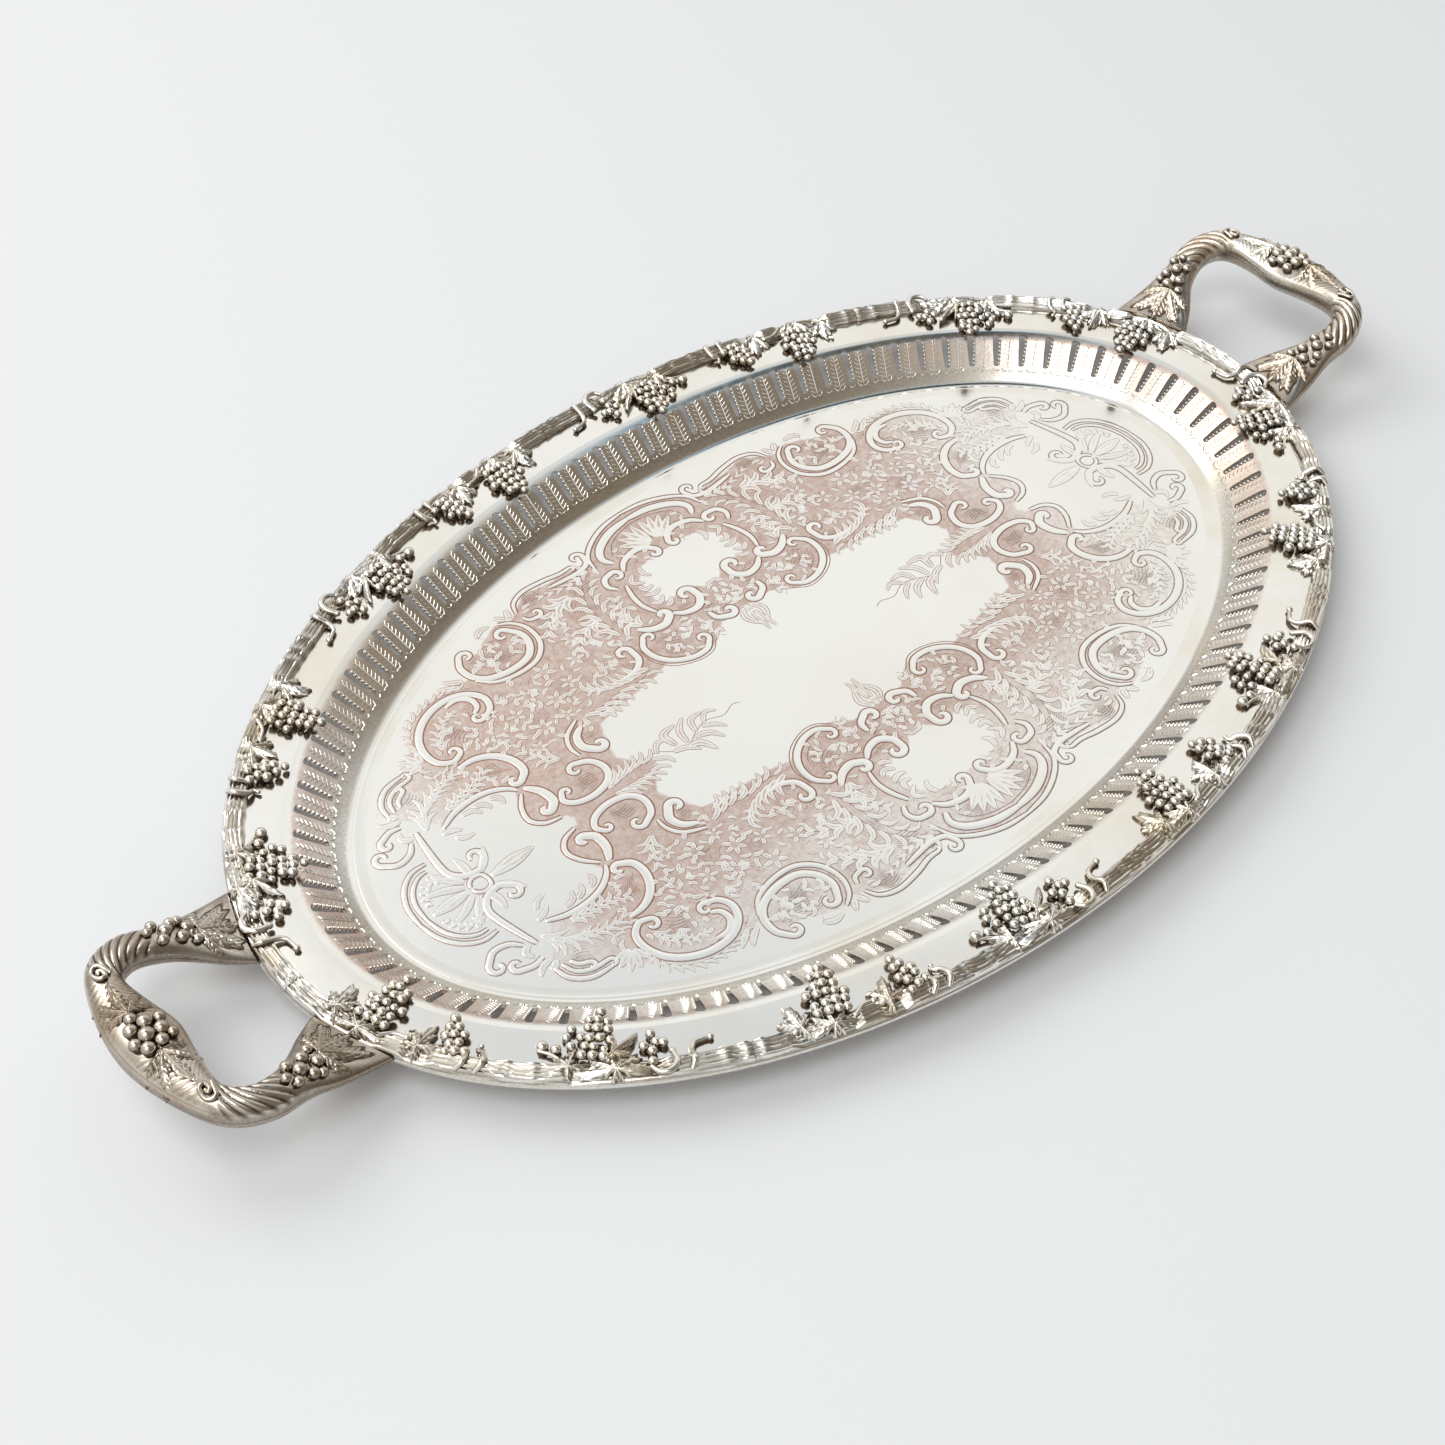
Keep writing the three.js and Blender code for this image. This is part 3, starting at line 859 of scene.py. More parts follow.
# ---- engraved field ----
FIELD_MIDDLE = 0.12
FIELD_RINGS = 150
GROUND_COPPER = 0.6


def field_plate():
    """The flat field as rings of its outline, down to a plain middle."""
    shape = Shape()
    around = sheet_angles()
    edge = np.stack(inset_xy(around, FIELD_JOIN), -1)
    shares = np.linspace(FIELD_MIDDLE, 1, FIELD_RINGS)
    flat = (shares[:, None, None] * edge).reshape(-1, 2)
    shown = worn_ground(flat)
    wear = copper_wear(flat[:, 0], flat[:, 1])
    top = np.hstack([flat, np.full((len(flat), 1), SHEET)])
    ring = np.hstack([edge, np.zeros((len(edge), 1))])
    points = np.vstack([top, ring, [[0, 0, SHEET], [0, 0, 0]]])
    skin = ring_faces(FIELD_RINGS + 1, len(around))
    first = np.arange(len(around))
    after = np.roll(first, -1)
    upper_fan = fan_faces(len(points) - 2, first, after)
    lower_fan = fan_faces(len(points) - 1, after + len(top), first + len(top))
    rest = np.zeros(len(ring) + 2)
    tarnish = np.append(shown * (0.34 - 0.16 * wear + 0.3 * np.minimum(hollow_tarnish(flat), 1)), rest)
    copper = np.append(shown * wear * GROUND_COPPER, rest)
    shape.add(points, [skin, upper_fan, lower_fan], tarnish, copper)
    return shape.make("field_plate", 60)


# ---- engraving of the field ----
# One quarter is drawn in millimetres from the centre, x to the end and y to the
# side, and mirrored three times. Turns to the left are positive.
ENGRAVE_STEP = 0.9
BAND_HEIGHT = 0.07
LEAF_HEIGHT = 0.06
LINE_HEIGHT = 0.05
LINE_HALF = 0.3
SINK = 0.05


def evenly(path, step=ENGRAVE_STEP, fewest=6):
    """The same path with its points a constant distance apart."""
    path = np.asarray(path, float)
    along = np.concatenate([[0], np.cumsum(np.linalg.norm(np.diff(path, axis=0), axis=1))])
    wanted = np.linspace(0, along[-1], max(fewest, int(along[-1] / step) + 1))
    return np.stack([np.interp(wanted, along, path[:, k]) for k in range(2)], -1)


def volute(path, radius, turns=0.85, steps=26):
    """Carries a path on into a closing spiral; the sign of radius is its turn."""
    point = path[-1].copy()
    ahead = path[-1] - path[-2]
    heading = math.atan2(ahead[1], ahead[0])
    swing = 2 * math.pi * turns / steps
    more = []
    for k in range(steps):
        heading += math.copysign(swing, radius)
        stride = abs(radius) * (1 - 0.72 * k / steps) * swing
        point = point + stride * np.array([math.cos(heading), math.sin(heading)])
        more.append(point)
    return np.vstack([path, more])


def scroll(points, first=0.0, last=0.0):
    """A scroll through a few points, with a volute of the given radius at either end."""
    path = smooth_path(points, 14 * len(points))
    if last:
        path = volute(path, last)
    if first:
        path = volute(path[::-1], first)[::-1]
    return evenly(path)


BAND_PROFILE = [
    (1, 0.72, -SINK, 1.0), (1, 0.55, 0.03, 1.0), (1, 0.12, 0.01, 1.0), (1, -0.14, BAND_HEIGHT, 0.0),
    (0, 0.0, BAND_HEIGHT * 1.2, 0.0),
    (-1, -0.14, BAND_HEIGHT, 0.0), (-1, 0.12, 0.01, 1.0), (-1, 0.55, 0.03, 1.0), (-1, 0.72, -SINK, 1.0),
]
LEAF_PROFILE = [
    (1, 0.5, -SINK, 1.0), (1, 0.26, 0.03, 1.0), (0.8, 0.0, LEAF_HEIGHT, 0.0), (0, 0.0, 0.04, 0.6),
    (-0.8, 0.0, LEAF_HEIGHT, 0.0), (-1, 0.26, 0.03, 1.0), (-1, 0.5, -SINK, 1.0),
]
LINE_PROFILE = [(1, 0.0, -SINK, 1.0), (0, 0.0, LINE_HEIGHT, 1.0), (-1, 0.0, -SINK, 1.0)]


TO_THE_END = np.array([1.0, 0.0])


class Engraving:
    """Collects the strokes of one quarter: bands, leaves and fine lines."""

    def __init__(self):
        self.bands, self.leaves, self.lines = [], [], []

    def band(self, points, half_width=1.3, first=0.0, last=0.0, blunt=0.3):
        path = scroll(points, first, last)
        share = np.linspace(0, 1, len(path))
        width = half_width * np.sin(np.pi * np.clip(share, 0.02, 0.98)) ** blunt
        self.bands.append(strip(path, width, BAND_PROFILE))

    def line(self, points, half_width=LINE_HALF):
        path = evenly(smooth_path(points, 8 * len(points)), 1.1, 5)
        self.lines.append(strip(path, half_width, LINE_PROFILE))

    def leaf(self, root, middle, tip, half_width):
        """A pointed leaf that swells from its root and closes at its tip."""
        path = evenly(smooth_path([root, middle, tip], 20), 0.8, 8)
        share = np.linspace(0, 1, len(path))
        width = half_width * np.sin(np.pi * share**0.75) ** 0.8
        self.leaves.append(strip(path, width, LEAF_PROFILE))

    def acanthus(self, spine, lobes, reach, half_width=1.3, sides=(-1, 1), sweep=42.0, fade=0.5):
        """Leaves that leave a spine on the sides asked for and bend along it."""
        path = evenly(smooth_path(spine, 16 * len(spine)), 0.5)
        ahead = np.gradient(path, axis=0)
        ahead /= np.linalg.norm(ahead, axis=1, keepdims=True)
        self.line(path[:: max(1, len(path) // 12)], 0.3)
        for k in range(lobes):
            share = k / lobes
            at = int(share * (len(path) - 2))
            length = reach * (1 - fade * share)
            for turn in sides:
                first = rotate(ahead[at], turn * sweep * 0.55)
                second = rotate(ahead[at], turn * sweep * 1.7)
                middle = path[at] + first * length * 0.6
                self.leaf(path[at], middle, middle + second * length * 0.5, half_width * (1 - 0.4 * share))

    def leaf_list(self, half_width, leaves):
        for root, middle, tip in leaves:
            self.leaf(root, middle, tip, half_width)

    def fan(self, centre, half_width, rays, middle, clear=0.0, bend=0.0):
        """Leaves that spread from one centre; each ray is (bearing, length)."""
        for bearing, length in rays:
            outwards = rotate(TO_THE_END, bearing)
            root = np.array(centre) + outwards * clear
            bent = root + rotate(outwards, bend) * length * middle
            self.leaf(root, bent, root + outwards * length, half_width)

    def flower(self, x, y, radius, petals=6, turn=0.0):
        for k in range(petals):
            bearing = turn + 2 * math.pi * k / petals
            outwards = np.array([math.cos(bearing), math.sin(bearing)])
            root = np.array([x, y]) + outwards * radius * 0.22
            self.leaf(root, root + outwards * radius * 0.4, root + outwards * radius * 0.85, radius * 0.2)

    def hatch(self, start, end, offset, count, shorten):
        """Parallel lines that step sideways and grow shorter."""
        start, end, offset = (np.asarray(v, float) for v in (start, end, offset))
        for k in range(count):
            shift = offset * k
            bow = np.array([-(end - start)[1], (end - start)[0]]) * 0.12
            finish = start + (end - start) * (1 - shorten * k / count)
            self.line([start + shift, (start + finish) / 2 + shift + bow, finish + shift], 0.24)


def rotate(vector, degrees):
    cosine, sine = math.cos(math.radians(degrees)), math.sin(math.radians(degrees))
    return np.array([vector[0] * cosine - vector[1] * sine, vector[0] * sine + vector[1] * cosine])


def draw_scrolls(pen):
    # the ring scroll at the top and its outer band
    pen.band(
        [
            (104, 95.5), (107, 90), (106, 83), (101, 78), (92, 75.8), (83, 77), (77.8, 82.5), (76.8, 89),
            (80, 95),
        ],
        1.5, 3.0, -3.2,
    )
    pen.band(
        [(107, 81.5), (101, 75), (91, 72.3), (81, 73.5), (74.2, 80), (72.6, 89), (75.5, 96), (81, 100)],
        1.0,
    )
    # the kidney scroll towards the end
    pen.band(
        [
            (136, 54.5), (140, 53.5), (144.5, 57), (145.5, 63.5), (143, 71), (137, 77),
            (129, 80.5), (120, 80.7), (113, 77), (110, 71), (112, 65.5), (117, 63),
        ],
        1.5, -2.8, 2.6,
    )
    pen.band([(125, 77.8), (119, 78.3), (114.8, 74.7), (115, 70), (118.5, 67.3)], 1.2)
    # scrolls below it, down to the middle line
    pen.band([(141, 49.5), (133, 48.8), (126.5, 44.8), (122.8, 38), (123, 31.5), (127, 28)], 1.6, 0, 2.5)
    pen.band([(129, 25), (125.2, 19), (124.6, 12.5), (127.6, 9.2)], 1.8, 0, 2.1)
    pen.band([(131, 23.5), (136, 17), (137.6, 10.5), (134, 5.6), (127, 3.6)], 0.9)
    pen.band(
        [
            (120.3, 12.6), (122, 9), (118.5, 5), (111, 3.4), (103, 5.5), (99.6, 11), (101.6, 17.4),
            (107, 20.6),
        ],
        1.4, 2.0, -3.0,
    )
    pen.band([(92, 34), (97.2, 30.5), (98.8, 25), (95.6, 20.2)], 1.7, 0, -2.9)
    pen.band([(91, 38), (99.5, 33.5), (102.8, 27.6), (102.6, 21.6)], 0.8)
    # frame of the end cartouche
    pen.band([(164, 29.6), (156, 32.9), (147.5, 33.8), (140, 32.5), (134, 29), (130.6, 24.6)], 1.2)
    pen.band(
        [(172, 36), (174, 27), (175.8, 16), (175.2, 10.5), (171.4, 6.5), (165.5, 5.4), (161.4, 8.6)],
        1.3, 0, -3.4,
    )
    pen.band([(178, 21), (185.5, 21), (192, 16.6), (196.3, 9), (197.6, 0), (197.6, -1.5)], 0.8)
    pen.band([(180, 18), (185, 17.6), (190, 14), (193.3, 8), (194.4, 0), (194.4, -1.5)], 0.7)
    pen.band([(173.8, 0), (173.2, 2.1), (171.4, 3.7), (169, 4), (166.8, 2.8), (166, 0), (166, -1)], 0.7)
    pen.band([(176, 33), (180, 28.6), (186, 27.4), (191, 31)], 1.1, 0, 3.3)
    pen.band([(174, 41), (179, 42.2), (184.5, 40.4)], 1.1, 0, -2.6)
    # the shell fan at the shoulder
    pen.band([(175, 47), (173.6, 54.6), (167.5, 60), (158, 61.4)], 0.9)
    pen.band([(172, 48), (170.2, 54), (165, 57.4), (158, 58.2)], 0.8, 0, -2.0)
    pen.band([(168.8, 48.6), (167.4, 52.2), (163.4, 54.6)], 0.8, 0, -1.6)
    # the arm along the side and its volutes
    pen.band([(71, 98.5), (68, 104.4), (61, 107.3), (51, 106.6), (43, 104.9), (37.6, 105)], 0.9, 0, 1.4)
    pen.band([(52, 101.8), (44, 100.7), (36, 100.2), (30.6, 102), (28.9, 106)], 1.1, 0, -3.0)
    pen.band([(70.5, 96), (69, 92.6), (65.4, 91.6)], 0.9, 0, -2.4)
    # the shell over the side cartouche
    pen.band([(30.4, 96), (28, 104), (21, 110), (11, 114.2), (0, 115.6), (-1.5, 115.6)], 0.9)
    pen.band([(22, 93.6), (24.3, 99), (20.6, 104.8), (11, 109.5), (0, 110.9), (-1.5, 110.9)], 1.7)
    pen.line([(19.6, 97), (16.6, 102.2), (9.4, 106.2), (0, 107.8), (-1, 107.8)], 0.4)
    # frame of the side cartouche
    pen.band([(23, 87), (18.8, 91.8), (12, 93.9), (6.6, 92.6), (3.6, 88.8)], 1.4, 0, 2.4)
    pen.band([(31, 80.5), (33.4, 85), (31.6, 89.2), (27.4, 90.4)], 1.2, 0, 3.0)
    pen.band([(27.2, 81), (29.8, 73.5), (30.4, 66.5), (28.4, 59.6)], 1.0)
    pen.band([(41.5, 58.4), (36.6, 54), (31, 52.6), (26.8, 54.6)], 1.7, 0, -2.7)
    pen.band([(24.6, 55.6), (20, 51.8), (14, 51), (9.8, 54.7), (9.4, 59.4)], 1.6, 0, -3.4)
    pen.band([(13.4, 46), (12.8, 41), (8.4, 38)], 1.4, 0, -3.0)
    # scrolls that edge the reserve
    pen.band([(43, 52.8), (46.4, 48), (46, 41), (42, 35), (35, 31), (28, 30.7), (23.6, 34)], 1.3, 2.6, -2.8)
    pen.line([(48.4, 50), (48.6, 40), (43.6, 32.4), (35, 28.2), (27, 28), (20.6, 33)], 0.4)
    pen.band([(64.5, 41), (57, 41.4), (52, 45), (51, 51)], 1.3, 0, -3.3)


def draw_foliage(pen):
    # large acanthus beside the side cartouche and along the reserve
    pen.acanthus([(47, 57), (45, 66), (44, 76), (42, 86), (35, 95)], 7, 10, 1.2, (1,), 44, 0.3)
    pen.acanthus([(48, 60), (48, 72), (46, 84), (38, 96), (31, 99)], 8, 12, 1.3, (-1,), 46, 0.3)
    pen.acanthus([(38, 58), (40, 66), (38, 74), (34, 80)], 5, 7, 1.3, (-1, 1), 40, 0.3)
    pen.acanthus([(88, 37), (78, 36), (68, 37), (59, 36), (51, 38)], 8, 9.5, 1.1, (1,), 40, 0.2)
    pen.acanthus([(52, 38.6), (62, 38.5), (72, 41), (80, 47)], 7, 12, 1.5, (1,), 44, 0.3)
    pen.acanthus([(84, 33), (76, 34), (68, 35)], 4, 8, 1.2, (1,), 52, 0.1)
    # fronds that run along the arm, the shell and the kidney
    pen.acanthus([(33, 98.6), (42, 97), (52, 98.4), (61, 101)], 6, 6.5, 0.7, (-1, 1), 26)
    pen.acanthus([(48, 92), (57, 90), (65, 85), (71, 78)], 5, 10, 1.7, (-1, 1), 42)
    pen.acanthus([(49, 74), (56, 72), (63, 68), (68, 62)], 4, 8, 1.5, (-1, 1), 40)
    pen.acanthus(
        [(147.4, 64), (144.4, 74.4), (136.6, 81.4), (124, 84), (112, 81.5)],
        12, 6.4, 0.7, (-1,), 26, 0.1,
    )
    pen.acanthus([(139, 60), (136, 67), (130.5, 72.4), (123.5, 74)], 6, 7.0, 0.8, (-1, 1), 36)
    pen.acanthus([(169, 33), (164.6, 40.4), (156, 45.4), (146, 48.4), (138, 46.5)], 9, 10.5, 0.9, (-1, 1), 30)
    pen.acanthus([(152, 60), (152, 53.5), (146, 51.5), (137, 51)], 5, 6.0, 0.7, (-1,), 36)
    pen.acanthus([(157, 36), (148, 37.4), (140, 39), (133, 42.5)], 7, 6.8, 1.1, (-1, 1), 44, 0.2)
    pen.acanthus([(109, 26), (114, 31), (117, 38), (116, 46)], 5, 8, 0.9, (-1, 1), 40)
    # the fan of leaves between the fan shell and the kidney
    shoulder = ((105, 7.5), (73, 9.5), (47, 10.5), (21, 9.5), (-5, 7))
    pen.fan((149.5, 60.5), 1.5, shoulder, 0.5)
    # lobes of the shell
    pen.fan((2.2, 92.5), 2.1, ((90, 14.5), (70, 15), (51, 15), (33, 14.5)), 0.62)
    # leaves round the end button
    button = ((0, 17), (24, 17), (48, 13), (90, 11), (132, 13), (180, 21))
    pen.fan((170.0, 0.0), 1.6, button, 0.55, 5.0, 6)
    pen.acanthus([(178, 12), (183, 13), (188, 9), (190, 3)], 6, 4.5, 0.9, (-1, 1), 40)
    # sprays of leaves over the shoulder volutes
    pen.leaf_list(1.2, (
        ((172, 44), (177, 44.5), (181, 48)), ((172, 45), (174, 47.5), (176.5, 47)),
        ((174, 33), (178, 36), (176.5, 40)), ((92, 99), (88, 101.5), (83, 101.2)),
        ((75, 98.5), (73.5, 102), (72.4, 104.4)), ((76, 99), (78, 101.6), (79.6, 104.2)),
        ((110, 84), (114.5, 86.6), (117.5, 90)), ((113, 82), (119, 86), (121.5, 87.6)),
    ))
    pen.acanthus([(106, 1.5), (98, 2.4), (91, 2.6), (85, 1.6)], 6, 11, 1.1, (-1,), 34, 0.2)
    pen.leaf((2.4, 37), (4.6, 32), (1.6, 25), 1.3)
    pen.leaf((1.0, 34), (0.8, 29), (1.8, 20.6), 0.9)
    # ruffles inside the cartouches
    pen.leaf_list(1.0, (
        ((21, 84), (24.5, 80), (20, 76)), ((24, 77), (23, 73), (18.5, 73.5)),
        ((26, 71), (22, 69), (17.5, 70)), ((27, 66), (23.5, 63.5), (19.5, 66.5)),
        ((24, 60), (20.5, 60.5), (18, 63.5)), ((16.5, 85.5), (17.5, 81), (15.2, 77.5)),
        ((155, 30), (150, 29), (147.6, 25)), ((149, 30.4), (145, 28.4), (143.4, 24.6)),
        ((142, 29.6), (138.6, 27), (139, 22.8)), ((163, 24), (160, 20.6), (155.6, 20)),
        ((166, 28), (161.6, 26.6), (158, 24)),
    ))


def draw_sprig(pen):
    """The spray that reaches into the reserve: it isn't the same on both sides."""
    pen.line(
        [(88, 1), (81, 3.4), (75, -1), (69, -3), (62, 0.6), (55, 2.2), (48, -0.4), (42, 1.4), (38, 0)],
        0.3,
    )
    for root, middle, tip, half_width in (
        ((81, 2), (77, 6.4), (70.5, 4.6), 0.9), ((72, 0), (72.5, 7.8), (65, 9.2), 1.4),
        ((68, -2), (66.4, 5.2), (60.5, 10.2), 1.2), ((62, 0), (59.5, 6.4), (53, 7), 1.1),
        ((57, 1.6), (52.6, 5.8), (48, 3.4), 0.8), ((76, -1), (70, -3), (66, -8), 1.1),
        ((70, -3), (64.4, -5), (61.4, -12.4), 1.4), ((65, -1), (58.4, -3.4), (55, -9.4), 1.2),
        ((59, 1.4), (54, -1.4), (50.6, -6), 0.9), ((84, 2), (79, -2), (78, -6), 0.9),
    ):
        pen.leaf(root, middle, tip, half_width)


FLOWERS = (
    (84, 66, 5.0), (97, 60, 4.4), (70, 63, 4.2), (90, 51, 4.6), (107, 55, 4.0), (103, 43, 4.4),
    (80, 55, 3.8), (64, 73, 4.0), (114, 63, 3.4), (61, 84, 3.8), (92, 42, 3.4), (111, 36, 3.6),
)


SPRINKLED = 330
FLOWER_GAP = 3.6
STROKE_GAP = 1.3


def draw_ground(pen):
    """Flowers among sprinkled leaves, and fine hatching inside the larger scrolls."""
    for k, (x, y, radius) in enumerate(FLOWERS):
        pen.flower(x, y, radius, 6 if k % 2 else 5, 0.4 * k)
    spots = np.array([f[:2] for f in FLOWERS])
    drawn = np.vstack([points[:, :2] for points, _, _ in pen.bands + pen.leaves])
    placed = []
    while len(placed) < SPRINKLED:
        at = random.uniform((0, 28), (146, 106))
        off_flowers = np.linalg.norm(spots - at, axis=1).min() > FLOWER_GAP
        off_strokes = np.linalg.norm(drawn - at, axis=1).min() > STROKE_GAP
        if off_flowers and off_strokes and worn_ground(at[None])[0] > 0.9:
            placed.append(at)
    for k, at in enumerate(placed):
        ahead = rotate(np.array([1.0, 0.0]), random.uniform(0, 360))
        length = random.uniform(3.4, 5.8)
        bend = rotate(ahead, random.choice([-34, 34]))
        middle = at + ahead * length * 0.5
        if k % 3:
            pen.leaf(at, middle, middle + bend * length * 0.5, random.uniform(0.6, 1.0))
        else:
            pen.line([at, middle, middle + bend * length * 0.5], 0.2)
    for start, end, offset, count, shorten in (
        ((84, 80.5), (98, 82), (0.6, 1.25), 7, 0.35),
        ((82.6, 92), (96, 92.5), (0.2, -1.2), 3, 0.5),
        ((140.5, 59), (138, 70), (-1.25, 0.7), 6, 0.5),
        ((127, 66), (136, 60), (-0.9, -1.2), 6, 0.4),
        ((43, 44), (34, 34.5), (-1.0, 1.0), 9, 0.4),
        ((55.5, 99.5), (67, 99), (0.1, 1.2), 5, 0.3),
        ((104.5, 8), (115, 7.4), (0, 1.2), 5, 0.3),
        ((168, 49.5), (161, 53), (-0.8, -1.2), 5, 0.3),
        ((130, 44), (125.6, 34), (1.2, 0.2), 6, 0.3),
        ((16, 57), (12.5, 53.4), (1.1, 0), 5, 0.2),
        ((95, 31), (94.6, 23.5), (-1.1, 0), 5, 0.3),
        ((34, 98), (48, 93), (0.5, -1.3), 8, 0.35),
        ((47, 88), (50.5, 66), (1.15, 0), 6, 0.35),
    ):
        pen.hatch(start, end, offset, count, shorten)


# Edges of the worn ground in the quarter: its outside, the blank reserve and the
# cartouches.
GROUND_EDGE = np.array([
    (-5, 116), (12, 114.5), (22, 110), (29, 102), (36, 103), (50, 104), (62, 106), (71, 100), (76, 97.5),
    (82, 100), (91, 96), (96, 92), (103, 95), (107.6, 88), (108.6, 83.5), (120, 86.4), (131, 84),
    (141, 78.5), (147.6, 69), (153, 68), (157, 60.5), (168, 60), (175, 50), (173, 44), (168, 38),
    (163, 31), (150, 34.6), (140, 33), (132, 28), (136, 17), (138, 9), (134, 4), (126, 3), (122, -5),
    (-5, -5),
], float)
RESERVE_EDGE = np.array([
    (-5, 38.4), (5, 37), (13, 37.4), (20, 32), (28, 28.5), (37, 30), (46, 35.4), (53, 33.4), (60, 33),
    (70, 31), (78, 31), (86, 29), (90.5, 20), (93, 12), (88, 5), (84, 3), (82, -5), (-5, -5),
], float)
CARTOUCHE_EDGE = np.array([
    (-5, 86), (4, 85), (9, 85.6), (15, 84.6), (21, 79), (23, 72), (24, 65), (20, 61.4), (15, 62.6),
    (8, 62.4), (4, 57.6), (-5, 57.6),
], float)
# Hollows of the scrolls, where the old tarnish stays: x, y and radius.
DARK_HOLLOWS = (
    (91, 84, 8), (131, 67, 9), (61, 101, 6), (12, 101, 7), (93, 27, 4), (36, 41, 7), (110, 10, 7),
    (132, 40, 6), (66, 88, 6), (46, 80, 5), (166, 52, 5), (12, 46, 6), (102, 46, 8), (84, 56, 7),
    (56, 44, 5),
)


def worn_ground(flat):
    """How much copper shows at points of the field, from the quarter's edges."""
    quarter = np.abs(flat)
    shown = np.zeros(len(flat))
    spread = 0.5
    for shift in ((spread, 0), (-spread, 0), (0, spread), (0, -spread), (0, 0)):
        moved = quarter + shift
        blank = inside_outline(moved, RESERVE_EDGE) | inside_outline(moved, CARTOUCHE_EDGE)
        shown += (inside_outline(moved, GROUND_EDGE) & ~blank) / 5
    return shown


def eased(value, low, high):
    share = np.clip((value - low) / (high - low), 0, 1)
    return share * share * (3 - 2 * share)


def copper_wear(x, y):
    """Where the plate is worn through: most in the middle and the far side, least
    at the ends and along the near edge."""
    ends = 1 - 0.42 * eased(-x, 140, 168) - 0.5 * eased(x, 100, 150)
    near = 1 - 0.35 * eased(-y, 48, 82)
    return np.clip(ends * near, 0.1, 1)


def hollow_tarnish(flat):
    """How much old tarnish lies at points of the field."""
    quarter = np.abs(flat)
    total = 0
    for x, y, radius in DARK_HOLLOWS:
        total = total + np.exp(-((np.hypot(quarter[:, 0] - x, quarter[:, 1] - y) / radius) ** 2))
    return total


STROKE_TARNISH = 0.78


def add_mirrored(shape, strokes, across, upward):
    for points, faces, copper in strokes:
        placed = points * [across, upward, 1] + [0, 0, SHEET]
        turned = [f[:, ::-1] for f in faces] if across * upward < 0 else faces
        wear = copper_wear(placed[:, 0], placed[:, 1])
        shape.add(placed, turned, copper * (STROKE_TARNISH - 0.12 * wear), copper * wear)


def engraved(name, four_times, twice=()):
    """Strokes of the quarter mirrored into all four, and of a half into both."""
    shape = Shape()
    for strokes, upwards in ((four_times, (1, -1)), (twice, (1,))):
        for across in (1, -1):
            for upward in upwards:
                add_mirrored(shape, strokes, across, upward)
    return shape.make(name, 40)


# ---- materials ----
def add_node(tree, kind, **inputs):
    node = tree.nodes.new(kind)
    for label, value in inputs.items():
        node.inputs[label.replace("_", " ")].default_value = value
    return node


def mix_colours(tree, share, first, second):
    node = tree.nodes.new("ShaderNodeMix")
    node.data_type = "RGBA"
    for socket, value in ((node.inputs[0], share), (node.inputs[6], first), (node.inputs[7], second)):
        if isinstance(value, bpy.types.NodeSocket):
            tree.links.new(value, socket)
        else:
            socket.default_value = value
    return node.outputs[2]


def maths(tree, operation, *values, clamp=False):
    node = tree.nodes.new("ShaderNodeMath")
    node.operation = operation
    node.use_clamp = clamp
    for socket, value in zip(node.inputs, values):
        if isinstance(value, bpy.types.NodeSocket):
            tree.links.new(value, socket)
        else:
            socket.default_value = value
    return node.outputs[0]


def noise(tree, place, scale, detail=3.0, roughness=0.55):
    node = add_node(tree, "ShaderNodeTexNoise", Scale=scale, Detail=detail, Roughness=roughness)
    tree.links.new(place, node.inputs["Vector"])
    return node.outputs[0]


def ramp(tree, value, low, high):
    node = tree.nodes.new("ShaderNodeMapRange")
    node.inputs["From Min"].default_value = low
    node.inputs["From Max"].default_value = high
    tree.links.new(value, node.inputs["Value"])
    return node.outputs[0]


def attribute(tree, name):
    node = tree.nodes.new("ShaderNodeAttribute")
    node.attribute_name = name
    return node.outputs["Fac"]


# Scales are in turns per metre, and shares say how far a value moves the next one.
CLOUD_RANGE = (0.42, 0.68)
SPECKLE_SCALE = 900.0
SPECKLE_SHARE = 0.5
SCRIBBLE_SCALE = 420.0
SCRIBBLE_SHARE = 0.65
WORN_RANGE = (0.22, 0.85)
GRIME_AND_SHADE_RANGE = (0.35, 0.95)
CLOUD_ROUGHNESS = 0.08
GRIME_ROUGHNESS = 0.2
WORN_ROUGHNESS = 0.18
SCRATCH_SCALE = (90.0, 1400.0, 400.0)
SCRATCH_TURN = 0.5
SCRATCH_SHARE = 0.25
DENT_SCALE = 60.0
DENT_SHARE = 1.5
BUMP_STRENGTH = 0.12
BUMP_DISTANCE = 0.0004


